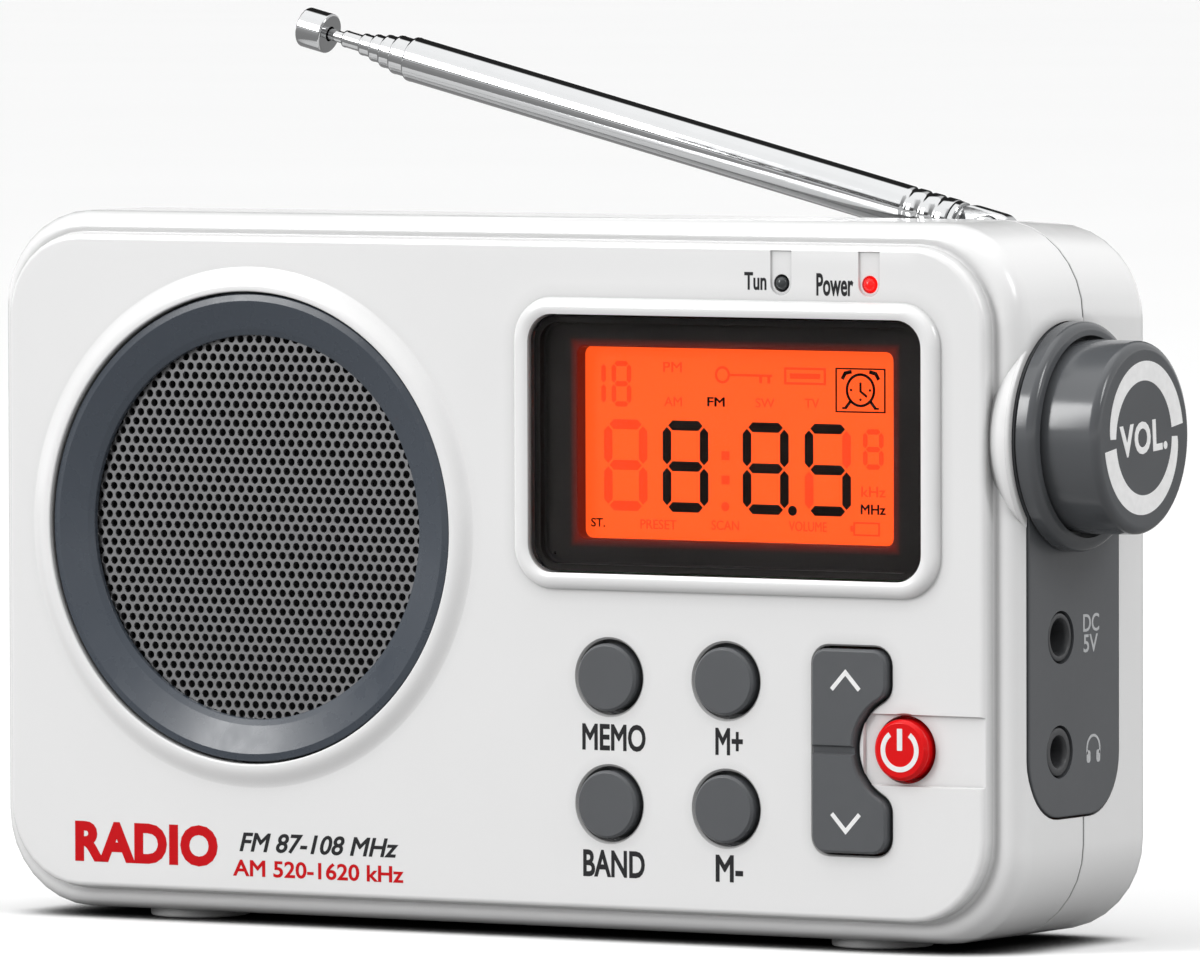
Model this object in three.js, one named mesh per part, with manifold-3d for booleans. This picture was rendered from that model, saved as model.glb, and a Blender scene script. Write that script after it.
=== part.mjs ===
// Tabletop radio: a two-shell plastic case that holds a loudspeaker, a display, keys, a volume
// control, sockets, a battery bay and a telescopic rod aerial. Millimetres, +Z up, front towards -Y.
import * as THREE from "three";
import { mergeVertices } from "three/addons/utils/BufferGeometryUtils.js";
import Module from "manifold-3d";

const wasm = await Module();
wasm.setup();

// ---------------------------------------------------------------- driving dimensions
const CASE = { width: 182, height: 108.4, corner: 14.5, wall: 2.2 };
const FOOT = { radius: 7.7, thick: 1.9, proud: 1.2, x: 61.3, frontY: 13.5, rearY: 33.4 };
const FRONT_Y = 0; // the raised front face
const RIM_Y = 2.4; // front of the rounded rim around it
const SPLIT_Y = 22.6; // where the two shells meet
const BACK_Y = 44.2;
const DRAFT = 1.2; // how far the rear shell's top comes down by its back
const GAP = 0.3; // clearance between neighbouring pieces
const BASE_Z = FOOT.proud;
const TOP_Z = BASE_Z + CASE.height;
const MID_Z = (BASE_Z + TOP_Z) / 2;

const SPEAKER = { x: -43, z: 61.25, ringRadius: 36, openRadius: 29.6, lipRadius: 39.75 };
const DISPLAY = { x: 41.95, z: 75.45, lensWidth: 68.3, lensHeight: 38.7, lensCorner: 4 };
const LCD = { x: 42.2, z: 75.55, width: 55.3, height: 29.2 };
const KEY = { radius: 5.15, holeRadius: 5.75, flangeRadius: 6.5, proud: 1.1, backY: 3.9 };
const KEYS = {
  button_memo: [21.3, 40.1],
  button_m_plus: [41.9, 40.1],
  button_band: [21.3, 20.8],
  button_m_minus: [41.9, 20.8],
};
const POWER = { x: 72.9, z: 30.7, radius: 4.75, proud: 1.4 };
const ROCKER = {
  left: 57.4, right: 70.3, bottom: 14.9, top: 45.6,
  scoop: 8.35, corner: 2.4, fillet: 2.5, proud: 1.2,
};
const STRIP = { right: 87.5, bottom: 25.4, top: 35.8, depth: 0.6 }; // recess beside the power button
const LEDS = { tuning_led: [51.6, 100.3], power_led: [66.9, 100.3] };
const VOLUME = { y: 18.1, z: 77.4, knobRadius: 14.55, shaftRadius: 3, faceX: 103.9 };
const PANEL = { frontY: 5.75, backY: 33.25, bottom: 20.2, corner: 9, discRadius: 17, faceX: 91.2 };
const JACKS = { dc_jack: [15.3, 47.3, 2.4], headphone_jack: [14.9, 30.1, 2.0] };
const BOARD_Y = 9.4;
const BAY = { x0: -4, x1: 51.7, z0: 11, z1: 55.5, y0: 27, ledge: 1.2, wall: 2.9 };
const DOOR_THICK = 1.8;
const TROUGH = { x0: -66, x1: 73, y: 31.5, z: 101.7 };
const POSTS = [-80, 80].flatMap((x) => [12.5, 98.7].map((z) => [x, z]));
const POST = { frontEnd: 29.6, rearStart: 30, seat: 36.3 };
const PIVOT = { x: 67.2, y: 36, z: 107.15, tilt: THREE.MathUtils.degToRad(14) };
const AERIAL = { length: 126.5, tipLength: 4.6, tipRadius: 3.15, tubeStart: 5, innerStart: 16 };
// outer radius and how far the lip of each section is from the tip's end; the last is a solid rod
const SECTIONS = [[3.5, 20.3], [3.05, 17.4], [2.6, 15.2], [2.15, 13.1], [1.72, 10.9], [1.32, 7.4], [0.92, 2.2]];
const SECTION_WALL = 0.3;

// ---------------------------------------------------------------- solids and shapes
// A closed geometry as a manifold solid with its faces pointing out.
function solid(geometry) {
  const bare = geometry.clone();
  bare.deleteAttribute("normal");
  bare.deleteAttribute("uv");
  const merged = mergeVertices(bare, 1e-4);
  const corners = [];
  for (let i = 0; i < merged.index.count; i += 3) {
    const [a, b, c] = [0, 1, 2].map((k) => merged.index.getX(i + k));
    if (a !== b && b !== c && c !== a) corners.push(a, b, c);
  }
  const build = (triVerts) =>
    new wasm.Manifold(
      new wasm.Mesh({ numProp: 3, vertProperties: merged.attributes.position.array, triVerts }),
    );
  const made = build(new Uint32Array(corners));
  return made.volume() >= 0 ? made : build(new Uint32Array(corners.reverse()));
}

function roundedRect(x, z, width, height, radius) {
  const shape = new THREE.Shape();
  const [right, top] = [x + width / 2 - radius, z + height / 2 - radius];
  const [left, bottom] = [x - width / 2 + radius, z - height / 2 + radius];
  shape.absarc(right, top, radius, 0, Math.PI / 2);
  shape.absarc(left, top, radius, Math.PI / 2, Math.PI);
  shape.absarc(left, bottom, radius, Math.PI, 1.5 * Math.PI);
  shape.absarc(right, bottom, radius, 1.5 * Math.PI, 2 * Math.PI);
  return shape;
}

// A shape drawn in X and Z, from y0 to y1, with both edges rounded by edge.
function alongY(shape, y0, y1, edge = 0, curve = 3) {
  const geometry = new THREE.ExtrudeGeometry(shape, {
    depth: y1 - y0 - 2 * edge,
    curveSegments: curve,
    bevelEnabled: edge > 0,
    bevelThickness: edge,
    bevelSize: edge,
    bevelOffset: -edge,
    bevelSegments: 2,
  });
  geometry.rotateX(Math.PI / 2);
  geometry.translate(0, y1 - edge, 0);
  return solid(geometry);
}

// A shape drawn in Y and Z, from x0 to x1.
function alongX(shape, x0, x1) {
  const geometry = new THREE.ExtrudeGeometry(shape, { depth: x1 - x0, curveSegments: 4, bevelEnabled: false });
  const [x, y, z] = [[1, 0, 0], [0, 1, 0], [0, 0, 1]].map((v) => new THREE.Vector3(...v));
  geometry.applyMatrix4(new THREE.Matrix4().makeBasis(y, z, x));
  geometry.translate(x0, 0, 0);
  return solid(geometry);
}

function box(x0, x1, y0, y1, z0, z1) {
  const geometry = new THREE.BoxGeometry(x1 - x0, y1 - y0, z1 - z0);
  geometry.translate((x0 + x1) / 2, (y0 + y1) / 2, (z0 + z1) / 2);
  return solid(geometry);
}

// A profile of [radius, distance along the axis], turned about the axis "x", "y" or "z" through at.
function turned(axis, at, profile, sides = 24) {
  const points = profile.map(([radius, along]) => new THREE.Vector2(radius, along));
  const geometry = new THREE.LatheGeometry(points, sides);
  if (axis === "x") geometry.rotateZ(-Math.PI / 2);
  if (axis === "z") geometry.rotateX(Math.PI / 2);
  geometry.translate(...at);
  return solid(geometry);
}

function rod(axis, at, radius, from, to, sides = 24) {
  return turned(axis, at, [[0, from], [radius, from], [radius, to], [0, to]], sides);
}

function tube(axis, at, inner, outer, from, to, sides = 24) {
  return turned(axis, at, [[inner, from], [outer, from], [outer, to], [inner, to], [inner, from]], sides);
}

const join = (...solids) => solids.reduce((a, b) => a.add(b));
const cut = (made, ...solids) => solids.reduce((a, b) => a.subtract(b), made);

// ---------------------------------------------------------------- looks and the scene graph
const LOOKS = {
  white: [0xf1f1ef, 0.25, 0],
  grey: [0x57595c, 0.4, 0],
  ring: [0x48505a, 0.3, 0],
  red: [0xe01010, 0.2, 0],
  black: [0x141416, 0.35, 0],
  clear: [0xffffff, 0.05, 0],
  orange: [0xff6228, 0.4, 0],
  rubber: [0x9a9b9c, 0.7, 0],
  board: [0x1d5c3a, 0.5, 0],
  copper: [0xb5703c, 0.35, 1],
  ferrite: [0x2b2a2d, 0.8, 0],
  steel: [0xb8babd, 0.35, 1],
  chrome: [0xe4e6e8, 0.08, 1],
  paper: [0x26262a, 0.9, 0],
};

const radio = new THREE.Group();
const aerial = new THREE.Group();
aerial.position.set(PIVOT.x, PIVOT.y, PIVOT.z);
aerial.rotation.y = Math.PI + PIVOT.tilt;
radio.add(aerial);

function add(name, made, look, group = radio) {
  const { vertProperties, triVerts } = made.getMesh();
  const geometry = new THREE.BufferGeometry();
  geometry.setAttribute("position", new THREE.BufferAttribute(vertProperties, 3));
  geometry.setIndex(new THREE.BufferAttribute(triVerts, 1));
  geometry.computeVertexNormals();
  const [color, roughness, metalness] = LOOKS[look];
  const mesh = new THREE.Mesh(geometry, new THREE.MeshStandardMaterial({ color, roughness, metalness }));
  mesh.name = name;
  group.add(mesh);
}

// ---------------------------------------------------------------- shared outlines
function caseOutline(inset = 0) {
  return roundedRect(0, MID_Z, CASE.width - 2 * inset, CASE.height - 2 * inset, CASE.corner - inset);
}

function lensOutline(grow) {
  const { x, z, lensWidth, lensHeight, lensCorner } = DISPLAY;
  return roundedRect(x, z, lensWidth + 2 * grow, lensHeight + 2 * grow, lensCorner + grow);
}

// The rear shell's outline where its top has come down by draft. Its sides and underside stay level.
function draftedOutline(inset, draft) {
  const width = CASE.width - 2 * inset;
  const height = CASE.height - 2 * inset - draft;
  return roundedRect(0, MID_Z - draft / 2, width, height, CASE.corner - inset);
}

// The rear shell's form from y0 to y1, whose top comes down from the parting line to its back.
function draftedSolid(inset, y0, y1, edge) {
  const front = alongY(caseOutline(inset), y0, y0 + 0.1, 0, 4);
  const back = alongY(draftedOutline(inset, DRAFT), y1 - 2 * edge - 0.1, y1, edge, 4);
  return wasm.Manifold.hull([front, back]);
}

// The tuning rocker's outline: an upright bar, scooped on the right around the power button.
function rockerOutline(grow) {
  const [left, right] = [ROCKER.left - grow, ROCKER.right + grow];
  const [bottom, top] = [ROCKER.bottom - grow, ROCKER.top + grow];
  const radius = ROCKER.corner + grow;
  const fillet = ROCKER.fillet + grow;
  const filletX = right - fillet;
  const reach = ROCKER.scoop + ROCKER.fillet;
  const half = Math.acos((POWER.x - filletX) / reach);
  const rise = reach * Math.sin(half);
  const shape = new THREE.Shape();
  shape.absarc(right - radius, bottom + radius, radius, 1.5 * Math.PI, 2 * Math.PI);
  shape.absarc(filletX, POWER.z - rise, fillet, 0, half);
  shape.absarc(POWER.x, POWER.z, ROCKER.scoop - grow, Math.PI + half, Math.PI - half, true);
  shape.absarc(filletX, POWER.z + rise, fillet, -half, 0);
  shape.absarc(right - radius, top - radius, radius, 0, Math.PI / 2);
  shape.absarc(left + radius, top - radius, radius, Math.PI / 2, Math.PI);
  shape.absarc(left + radius, bottom + radius, radius, Math.PI, 1.5 * Math.PI);
  return shape;
}

// The grey side panel: a strip with a round lower end, and a disc under the volume collar.
function panelSolid(grow, x0, x1) {
  const [front, back] = [PANEL.frontY - grow, PANEL.backY + grow];
  const bottom = PANEL.bottom - grow;
  const radius = PANEL.corner + grow;
  const strip = new THREE.Shape();
  strip.moveTo(back, VOLUME.z);
  strip.lineTo(front, VOLUME.z);
  strip.absarc(front + radius, bottom + radius, radius, Math.PI, 1.5 * Math.PI);
  strip.absarc(back - radius, bottom + radius, radius, 1.5 * Math.PI, 2 * Math.PI);
  const disc = rod("x", [0, VOLUME.y, VOLUME.z], PANEL.discRadius + grow, x0, x1);
  return alongX(strip, x0, x1).add(disc);
}

// ---------------------------------------------------------------- case
const SIDE_X = CASE.width / 2;
const SPEAKER_AT = [SPEAKER.x, 0, SPEAKER.z];
const VOLUME_AT = [0, VOLUME.y, VOLUME.z];
const panelOpening = panelSolid(GAP, SIDE_X - CASE.wall - GAP, SIDE_X + 3);

function frontShell() {
  const rim = alongY(caseOutline(), RIM_Y, SPLIT_Y + 10, 3.6, 4);
  const plateau = alongY(roundedRect(-0.5, 55.4, 174.3, 101.2, 12.6), FRONT_Y, 6, 0.9, 4);
  const flare = [[0, 80], [15, 84], [18.6, 89.6], [18.6, SIDE_X], [0, SIDE_X]];
  const lip = [[36.4, 1], [36.4, -0.7], [37.3, -1.3], [38.5, -1], [SPEAKER.lipRadius, 0.1], [39.75, 1], [36.4, 1]];
  const frame = alongY(roundedRect(DISPLAY.x, DISPLAY.z, 74.6, 44.4, 6.6), -1.4, 2.4, 1.2);
  const outside = join(rim, plateau, turned("x", VOLUME_AT, flare), turned("y", SPEAKER_AT, lip, 40), frame);
  const inside = [
    alongY(caseOutline(CASE.wall), 5, SPLIT_Y + 20, 0, 4),
    alongY(roundedRect(0, 55.3, 168, 96, 9), RIM_Y + 0.2, 5.2),
    box(-100, 100, SPLIT_Y, 60, -10, 130),
  ];
  const shell = cut(outside, ...inside);
  const posts = POSTS.map(([x, z]) => rod("y", [x, 0, z], 4, 4, POST.frontEnd, 12));
  const bores = POSTS.map(([x, z]) => rod("y", [x, 0, z], 1.75, 12, POST.frontEnd + 1, 8));
  const keyHoles = Object.values(KEYS).map(([x, z]) => rod("y", [x, 0, z], KEY.holeRadius, -3, 4, 20));
  const ledHoles = Object.values(LEDS).map(([x, z]) => rod("y", [x, 0, z], 1.35, -3, 6, 10));
  const footRecesses = [-1, 1].map((s) =>
    rod("z", [s * FOOT.x, FOOT.frontY, 0], FOOT.radius + GAP, -1, FOOT.thick + GAP, 24),
  );
  return cut(
    join(shell, ...posts),
    ...bores,
    ...keyHoles,
    ...ledHoles,
    ...footRecesses,
    rod("y", SPEAKER_AT, 36.4, -3, 6, 40),
    alongY(lensOutline(GAP), -3, 6),
    alongY(rockerOutline(0.35), -3, 4),
    rod("y", [POWER.x, 0, POWER.z], POWER.radius + 0.4, -3, 4, 20),
    box(POWER.x, STRIP.right, -1, STRIP.depth, STRIP.bottom, STRIP.top),
    panelOpening,
  );
}

function rearShell() {
  const outside = draftedSolid(0, SPLIT_Y, BACK_Y, 4.2);
  const hollow = draftedSolid(CASE.wall, SPLIT_Y - 1, BACK_Y - CASE.wall, 2);
  const posts = POSTS.map(([x, z]) => rod("y", [x, 0, z], 4.6, POST.rearStart, 43, 12));
  const bay = box(
    BAY.x0 - BAY.wall, BAY.x1 + BAY.wall,
    BAY.y0 - 1.6, BACK_Y - 1.5,
    BAY.z0 - BAY.wall, BAY.z1 + BAY.wall,
  );
  const trough = box(
    TROUGH.x0 - CASE.wall, TROUGH.x1 + CASE.wall,
    TROUGH.y - CASE.wall, BACK_Y - 1,
    TROUGH.z - CASE.wall, TOP_Z - 2,
  );
  const shell = join(cut(outside, hollow), bay, trough, ...posts);
  const screwHoles = POSTS.flatMap(([x, z]) => [
    rod("y", [x, 0, z], 1.75, POST.rearStart - 1, POST.seat + 1, 8),
    rod("y", [x, 0, z], 3.2, POST.seat, BACK_Y + 1, 16),
  ]);
  const footRecesses = [-1, 1].map((s) =>
    rod("z", [s * FOOT.x, FOOT.rearY, 0], FOOT.radius + GAP, -1, FOOT.thick + GAP, 24),
  );
  return cut(
    shell,
    ...screwHoles,
    ...footRecesses,
    box(BAY.x0, BAY.x1, BAY.y0, BACK_Y + 1, BAY.z0, BAY.z1),
    box(...doorSides(0.35), BACK_Y - DOOR_THICK - GAP, BACK_Y + 1, ...doorEnds(0.35)),
    box(TROUGH.x0, TROUGH.x1, TROUGH.y, BACK_Y + 1, TROUGH.z, TOP_Z + 1),
    panelOpening,
    box(-100, 100, 0, SPLIT_Y + 0.15, -10, 130),
  );
}

function doorSides(grow) {
  return [BAY.x0 - BAY.ledge - grow, BAY.x1 + BAY.ledge + grow];
}

function doorEnds(grow) {
  return [BAY.z0 - BAY.ledge - grow, BAY.z1 + BAY.ledge + grow];
}

function addCase() {
  add("front_shell", frontShell(), "white");
  add("rear_shell", rearShell(), "white");
  add("battery_door", box(...doorSides(0), BACK_Y - DOOR_THICK, BACK_Y, ...doorEnds(0)), "white");
  POSTS.forEach(([x, z], i) => {
    const shank = rod("y", [x, 0, z], 1.4, 16, POST.seat + 0.5, 12);
    const head = rod("y", [x, 0, z], 2.8, POST.seat + GAP, POST.seat + 2.4, 16);
    add("case_screw_" + (i + 1), shank.add(head), "steel");
  });
  for (const [end, y] of [["front", FOOT.frontY], ["rear", FOOT.rearY]])
    for (const [side, s] of [["left", -1], ["right", 1]])
      add("foot_" + end + "_" + side, rod("z", [s * FOOT.x, y, 0], FOOT.radius, 0, FOOT.thick, 24), "rubber");
}

// ---------------------------------------------------------------- loudspeaker
function addSpeaker() {
  const { ringRadius, openRadius } = SPEAKER;
  const ring = [
    [openRadius, 1.5], [30.2, 1.1], [34.8, -0.35], [ringRadius, 0.1], [ringRadius, 2.9],
    [38.3, 2.9], [38.3, 4.4], [31.4, 4.4], [31.4, 2], [openRadius, 2], [openRadius, 1.5],
  ];
  const basket = [
    [32.6, 4.8], [37, 4.8], [37, 6.2], [34, 6.8], [18, 20], [18, 22], [9, 22], [9, 20.6], [16.6, 20.4],
    [32.6, 6.6], [32.6, 4.8],
  ];
  const cone = [[0, 15.6], [6, 16.6], [8, 18.6], [30.6, 5.4], [31.6, 5.4], [31.6, 6.2], [30.9, 6.2], [8.4, 19.6], [0, 19.6]];
  add("speaker_ring", turned("y", SPEAKER_AT, ring, 40), "ring");
  add("speaker_grille", rod("y", SPEAKER_AT, 31.1, 2.3, 3.1, 40), "steel");
  add("speaker_basket", turned("y", SPEAKER_AT, basket), "steel");
  add("speaker_cone", turned("y", SPEAKER_AT, cone), "paper");
  add("speaker_magnet", rod("y", SPEAKER_AT, 20, 22.3, 31.5), "ferrite");
}

// ---------------------------------------------------------------- display
function addDisplay() {
  const window = alongY(roundedRect(LCD.x, LCD.z, LCD.width, LCD.height, 1.3), 0, 12, 0, 2);
  const well = alongY(lensOutline(-1.2), 0, 2.1);
  const panel = (y0, y1) => alongY(roundedRect(LCD.x, LCD.z, LCD.width + 4, LCD.height + 4, 0.8), y0, y1, 0, 1);
  add("display_lens", alongY(lensOutline(0), -0.6, 0.4), "clear");
  add("display_mask", cut(alongY(lensOutline(0), 0.7, 4.5), well, window), "black");
  add("lcd_panel", panel(4.8, 6.8), "orange");
  add("lcd_backlight", panel(7.1, 9.7), "white");
}

// ---------------------------------------------------------------- keys, lamps and boards
function keySolid(x, z, radius, proud) {
  const cap = [
    [0, -proud], [radius - 0.6, -proud], [radius, -proud + 0.5], [radius, 2.9],
    [KEY.flangeRadius, 2.9], [KEY.flangeRadius, KEY.backY], [0, KEY.backY],
  ];
  return turned("y", [x, 0, z], cap, 20);
}

function switchSolid(x, z) {
  const body = box(x - 3, x + 3, 5.6, BOARD_Y - GAP, z - 3, z + 3);
  return body.add(rod("y", [x, 0, z], 1.7, KEY.backY + 0.8, 6, 12));
}

function addKeys() {
  for (const [name, [x, z]] of Object.entries(KEYS)) {
    add(name, keySolid(x, z, KEY.radius, KEY.proud), "grey");
    add(name.replace("button", "switch"), switchSolid(x, z), "black");
  }
  add("power_button", keySolid(POWER.x, POWER.z, POWER.radius, POWER.proud), "red");
  add("switch_power", switchSolid(POWER.x, POWER.z), "black");
  const rockerMid = (ROCKER.bottom + ROCKER.top) / 2;
  const groove = box(50, 80, -2, -ROCKER.proud + 0.5, rockerMid - 0.35, rockerMid + 0.35);
  add("tuning_rocker", cut(alongY(rockerOutline(0), -ROCKER.proud, KEY.backY, 0.5), groove), "grey");
  add("switch_tune_down", switchSolid(62, rockerMid - 10), "black");
  add("switch_tune_up", switchSolid(62, rockerMid + 10), "black");
  for (const [name, [x, z]] of Object.entries(LEDS)) {
    const dome = [[0, -0.4], [0.6, -0.25], [1.05, 0.3], [1.05, 3], [1.5, 3], [1.5, 5], [0, 5]];
    add(name, turned("y", [x, 0, z], dome, 16), name === "power_led" ? "red" : "black");
  }
}

function addBoards() {
  const chips = [[10, 26, 60, 72], [34, 42, 78, 86], [52, 64, 58, 66]].map(([x0, x1, z0, z1]) =>
    box(x0, x1, 18, 20.2, z0, z1),
  );
  add("key_board", box(14, 76.5, BOARD_Y, BOARD_Y + 1.6, 16.9, 49), "board");
  add("main_board", join(box(2, 74, 16.5, 18.1, 53, 93), ...chips), "board");
  add("ferrite_rod", rod("x", [0, 17.5, 100.5], 3.6, -15, 60, 20), "ferrite");
  add("aerial_coil", tube("x", [0, 17.5, 100.5], 4, 5, 12, 34, 20), "copper");
}

// ---------------------------------------------------------------- right-hand side
function addSide() {
  const jackHoles = Object.values(JACKS).map(([y, z]) => rod("x", [0, y, z], 4, 80, 95));
  const plate = panelSolid(0, SIDE_X - CASE.wall, PANEL.faceX);
  add("side_panel", cut(plate, ...jackHoles, rod("x", VOLUME_AT, 4.6, 80, 95)), "grey");
  const collar = [
    [15.2, 91.5], [17.1, 91.5], [17.3, 92.2], [16.9, 93.8], [16, 94.6], [15.5, 94.4], [15.2, 93.7], [15.2, 91.5],
  ];
  add("volume_collar", turned("x", VOLUME_AT, collar, 32), "grey");
  const knob = [
    [0, 92.2], [VOLUME.knobRadius, 92.2], [VOLUME.knobRadius, 102.7], [14.1, 103.5], [13.3, VOLUME.faceX],
    [0, VOLUME.faceX],
  ];
  const socket = rod("x", VOLUME_AT, VOLUME.shaftRadius + GAP, 90, 99.4, 20);
  add("volume_knob", cut(turned("x", VOLUME_AT, knob, 32), socket), "grey");
  add("volume_shaft", rod("x", VOLUME_AT, VOLUME.shaftRadius, 83.4, 99, 20), "steel");
  const pot = rod("x", VOLUME_AT, 8, 77, 88.3).add(rod("x", VOLUME_AT, 4.2, 88, 90.6, 20));
  add("volume_pot", cut(pot, rod("x", VOLUME_AT, VOLUME.shaftRadius + GAP, 83, 95, 20)), "steel");
  for (const [name, [y, z, bore]] of Object.entries(JACKS)) {
    const body = box(77, 88.3, y - 4.5, y + 4.5, z - 5.5, z + 5.5);
    const nose = rod("x", [0, y, z], 3.67, 88, PANEL.faceX - 0.2, 24);
    add(name, cut(body.add(nose), rod("x", [0, y, z], bore, 79, 95, 20)), "black");
  }
}

// ---------------------------------------------------------------- battery contacts
function addContacts() {
  const cells = [0, 1, 2].map((i) => BAY.z0 + ((i + 0.5) * (BAY.z1 - BAY.z0)) / 3);
  const cellY = BAY.y0 + 7.6;
  const strip = (x0, x1) => box(x0, x1, cellY - 5, cellY + 5, BAY.z0 + 1, BAY.z1 - 1);
  const springs = cells.map((z) => turned("x", [BAY.x0, cellY, z], [[0, 0.5], [4, 0.5], [2, 4], [0, 4]], 16));
  const bumps = cells.map((z) => rod("x", [BAY.x1, cellY, z], 2.5, -1.4, -0.6, 16));
  add("battery_springs", join(strip(BAY.x0 + GAP, BAY.x0 + 0.8), ...springs), "steel");
  add("battery_contacts", join(strip(BAY.x1 - 0.8, BAY.x1 - GAP), ...bumps), "steel");
}

// ---------------------------------------------------------------- rod aerial
// The group's +X runs along the mast from the pivot to the tip.
function addAerial() {
  const axis = [0, 0, 0];
  const tangHole = rod("y", axis, 1.6, -5, 5, 16);
  const tang = alongY(roundedRect(0.6, 0, 10.8, 6.8, 2.8), -1.3, 1.3, 0, 2);
  const plug = rod("x", axis, 2.85, 4.4, 14.5, 20);
  add("aerial_knuckle", cut(tang.add(plug), tangHole), "chrome", aerial);
  SECTIONS.forEach(([radius, fromTip], i) => {
    const end = AERIAL.length - fromTip;
    const start = i === 0 ? AERIAL.tubeStart + 1.2 : AERIAL.innerStart + i;
    const last = i === SECTIONS.length - 1;
    const made = last ? rod("x", axis, radius, start, end, 20) : tube("x", axis, radius - SECTION_WALL, radius, start, end, 20);
    add("aerial_section_" + (i + 1), made, "chrome", aerial);
  });
  const tip = rod("x", axis, AERIAL.tipRadius, AERIAL.length - AERIAL.tipLength, AERIAL.length, 24);
  const socket = rod("x", axis, 1.2, AERIAL.length - 6, AERIAL.length - 1.9, 12);
  add("aerial_tip", cut(tip, socket), "chrome", aerial);
}

function addAerialMount() {
  const { x, y, z } = PIVOT;
  const ear = alongY(roundedRect(x, z - 0.6, 7, 6.4, 3), y + 1.7, y + 2.9);
  const foot = box(x - 5, x + 4.5, y + 1.7, y + 6.6, TROUGH.z + GAP, TROUGH.z + 1.2);
  const web = box(x - 3.5, x + 3.5, y + 1.7, y + 2.9, TROUGH.z + 0.5, z - 1);
  const hole = rod("y", [x, 0, z], 1.6, y, y + 5, 16);
  add("aerial_bracket", cut(join(ear, foot, web), hole), "steel");
  const rivet = [[0, y - 2.6], [1.8, y - 2.4], [2.7, y - 1.6], [1.3, y - 1.6], [1.3, y + 3.4], [0, y + 3.4]];
  add("aerial_pivot_screw", turned("y", [x, 0, z], rivet, 20), "chrome");
}

addCase();
addSpeaker();
addDisplay();
addKeys();
addBoards();
addSide();
addContacts();
addAerial();
addAerialMount();

// The part's origin is at the middle of the object's extent, on the surface that it stands on.
radio.updateMatrixWorld(true);
const extent = new THREE.Box3().setFromObject(radio, true);
const centre = extent.getCenter(new THREE.Vector3());
radio.position.set(-centre.x, -centre.y, -extent.min.z);

export default radio;
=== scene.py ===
"""Looks of a tabletop radio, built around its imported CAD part.

Shapes are worked out in millimetres in a design frame: X 0 in the middle of the case, Y 0 on the
raised front face with +Y to the back, and Z 0 under the feet. TO_ROW brings them to the row frame.
"""

from math import acos, atan2, cos, hypot, pi, radians, sin, sqrt, tan

import bmesh
import bpy
from mathutils import Matrix, Vector


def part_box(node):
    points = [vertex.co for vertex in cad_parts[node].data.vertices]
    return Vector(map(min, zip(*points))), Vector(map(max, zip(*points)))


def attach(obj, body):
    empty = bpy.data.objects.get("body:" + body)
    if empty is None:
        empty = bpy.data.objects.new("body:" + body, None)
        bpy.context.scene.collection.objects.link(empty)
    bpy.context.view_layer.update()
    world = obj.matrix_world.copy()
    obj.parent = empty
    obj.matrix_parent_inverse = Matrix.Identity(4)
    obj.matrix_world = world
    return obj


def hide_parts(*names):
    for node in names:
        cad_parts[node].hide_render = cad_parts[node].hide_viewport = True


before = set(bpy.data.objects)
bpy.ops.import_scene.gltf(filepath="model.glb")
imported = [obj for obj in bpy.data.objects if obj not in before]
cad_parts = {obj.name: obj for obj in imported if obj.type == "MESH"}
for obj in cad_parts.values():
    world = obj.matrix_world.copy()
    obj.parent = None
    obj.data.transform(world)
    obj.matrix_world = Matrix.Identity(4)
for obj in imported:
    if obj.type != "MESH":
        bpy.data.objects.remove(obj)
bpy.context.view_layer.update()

# ---------------- driving dimensions, mm
MM = 0.001
SPLIT_Y = 22.6  # where the shells meet
BACK_Y = 44.2
DRAFT = 1.2  # how far the top comes down towards the back
PARTING = 0.18  # half the gap between the shells, as it shows
TOP_Z = 109.6
WALL = 2.2
WELD = 1e-4  # vertices closer than this become one
SPEAKER = (-43.0, 61.25)
LIP_INNER = 36.4
GRILLE_SHEET = {"pitch": 1.67, "hole": 0.56, "reach": 30.2, "front": 2.3, "back": 3.1}
# rounded rectangles: middle X, middle Z, width, height and corner radius
CASE = (0.0, 55.4, 182.0, 108.4, 14.5)
PLATEAU = (-0.5, 55.4, 174.3, 101.2, 12.6)
FRAME = (41.95, 75.45, 74.6, 44.4, 6.6)
LENS = (41.95, 75.45, 68.3, 38.7, 4.0)
LCD = (42.2, 75.55, 55.3, 29.2, 1.3)
DOOR = (23.85, 33.25, 58.1, 46.9, 1.6)
LCD_FACE = 4.8
KEYS = {
    "memo": (21.3, 40.1),
    "m_plus": (41.9, 40.1),
    "band": (21.3, 20.8),
    "m_minus": (41.9, 20.8),
}
KEY_RADIUS = 5.15
KEY_HOLE = 5.75
POWER = (72.9, 30.7)
POWER_RADIUS = 4.6
ROCKER = {
    "left": 57.4,
    "right": 70.3,
    "bottom": 14.9,
    "top": 45.6,
    "corner": 2.4,
    "fillet": 2.5,
    "scoop": 8.35,
}
LEDS = {"tuning": (51.6, 100.3), "power": (66.9, 100.3)}
VOLUME = (18.1, 77.4)  # Y and Z of the control's axis
KNOB_FACE = 103.9
PANEL = {"front": 5.75, "back": 33.25, "bottom": 20.2, "corner": 9.0, "disc": 17.0, "face": 91.2}
JACKS = {"dc": (15.3, 47.3, 2.4), "headphone": (14.9, 30.1, 2.0)}  # Y, Z and the bore's radius
BAY = {"x0": -4.0, "x1": 51.7, "z0": 11.0, "z1": 55.5, "y0": 27.0}
TROUGH = {"x0": -66.0, "x1": 73.0, "y": 31.5, "z": 101.7}
POSTS = [(x, z) for x in (-80.0, 80.0) for z in (12.5, 98.7)]
SCREW_SEAT = 36.3
FEET = {
    "foot_front_left": (-61.3, 13.5),
    "foot_front_right": (61.3, 13.5),
    "foot_rear_left": (-61.3, 33.4),
    "foot_rear_right": (61.3, 33.4),
}
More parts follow.
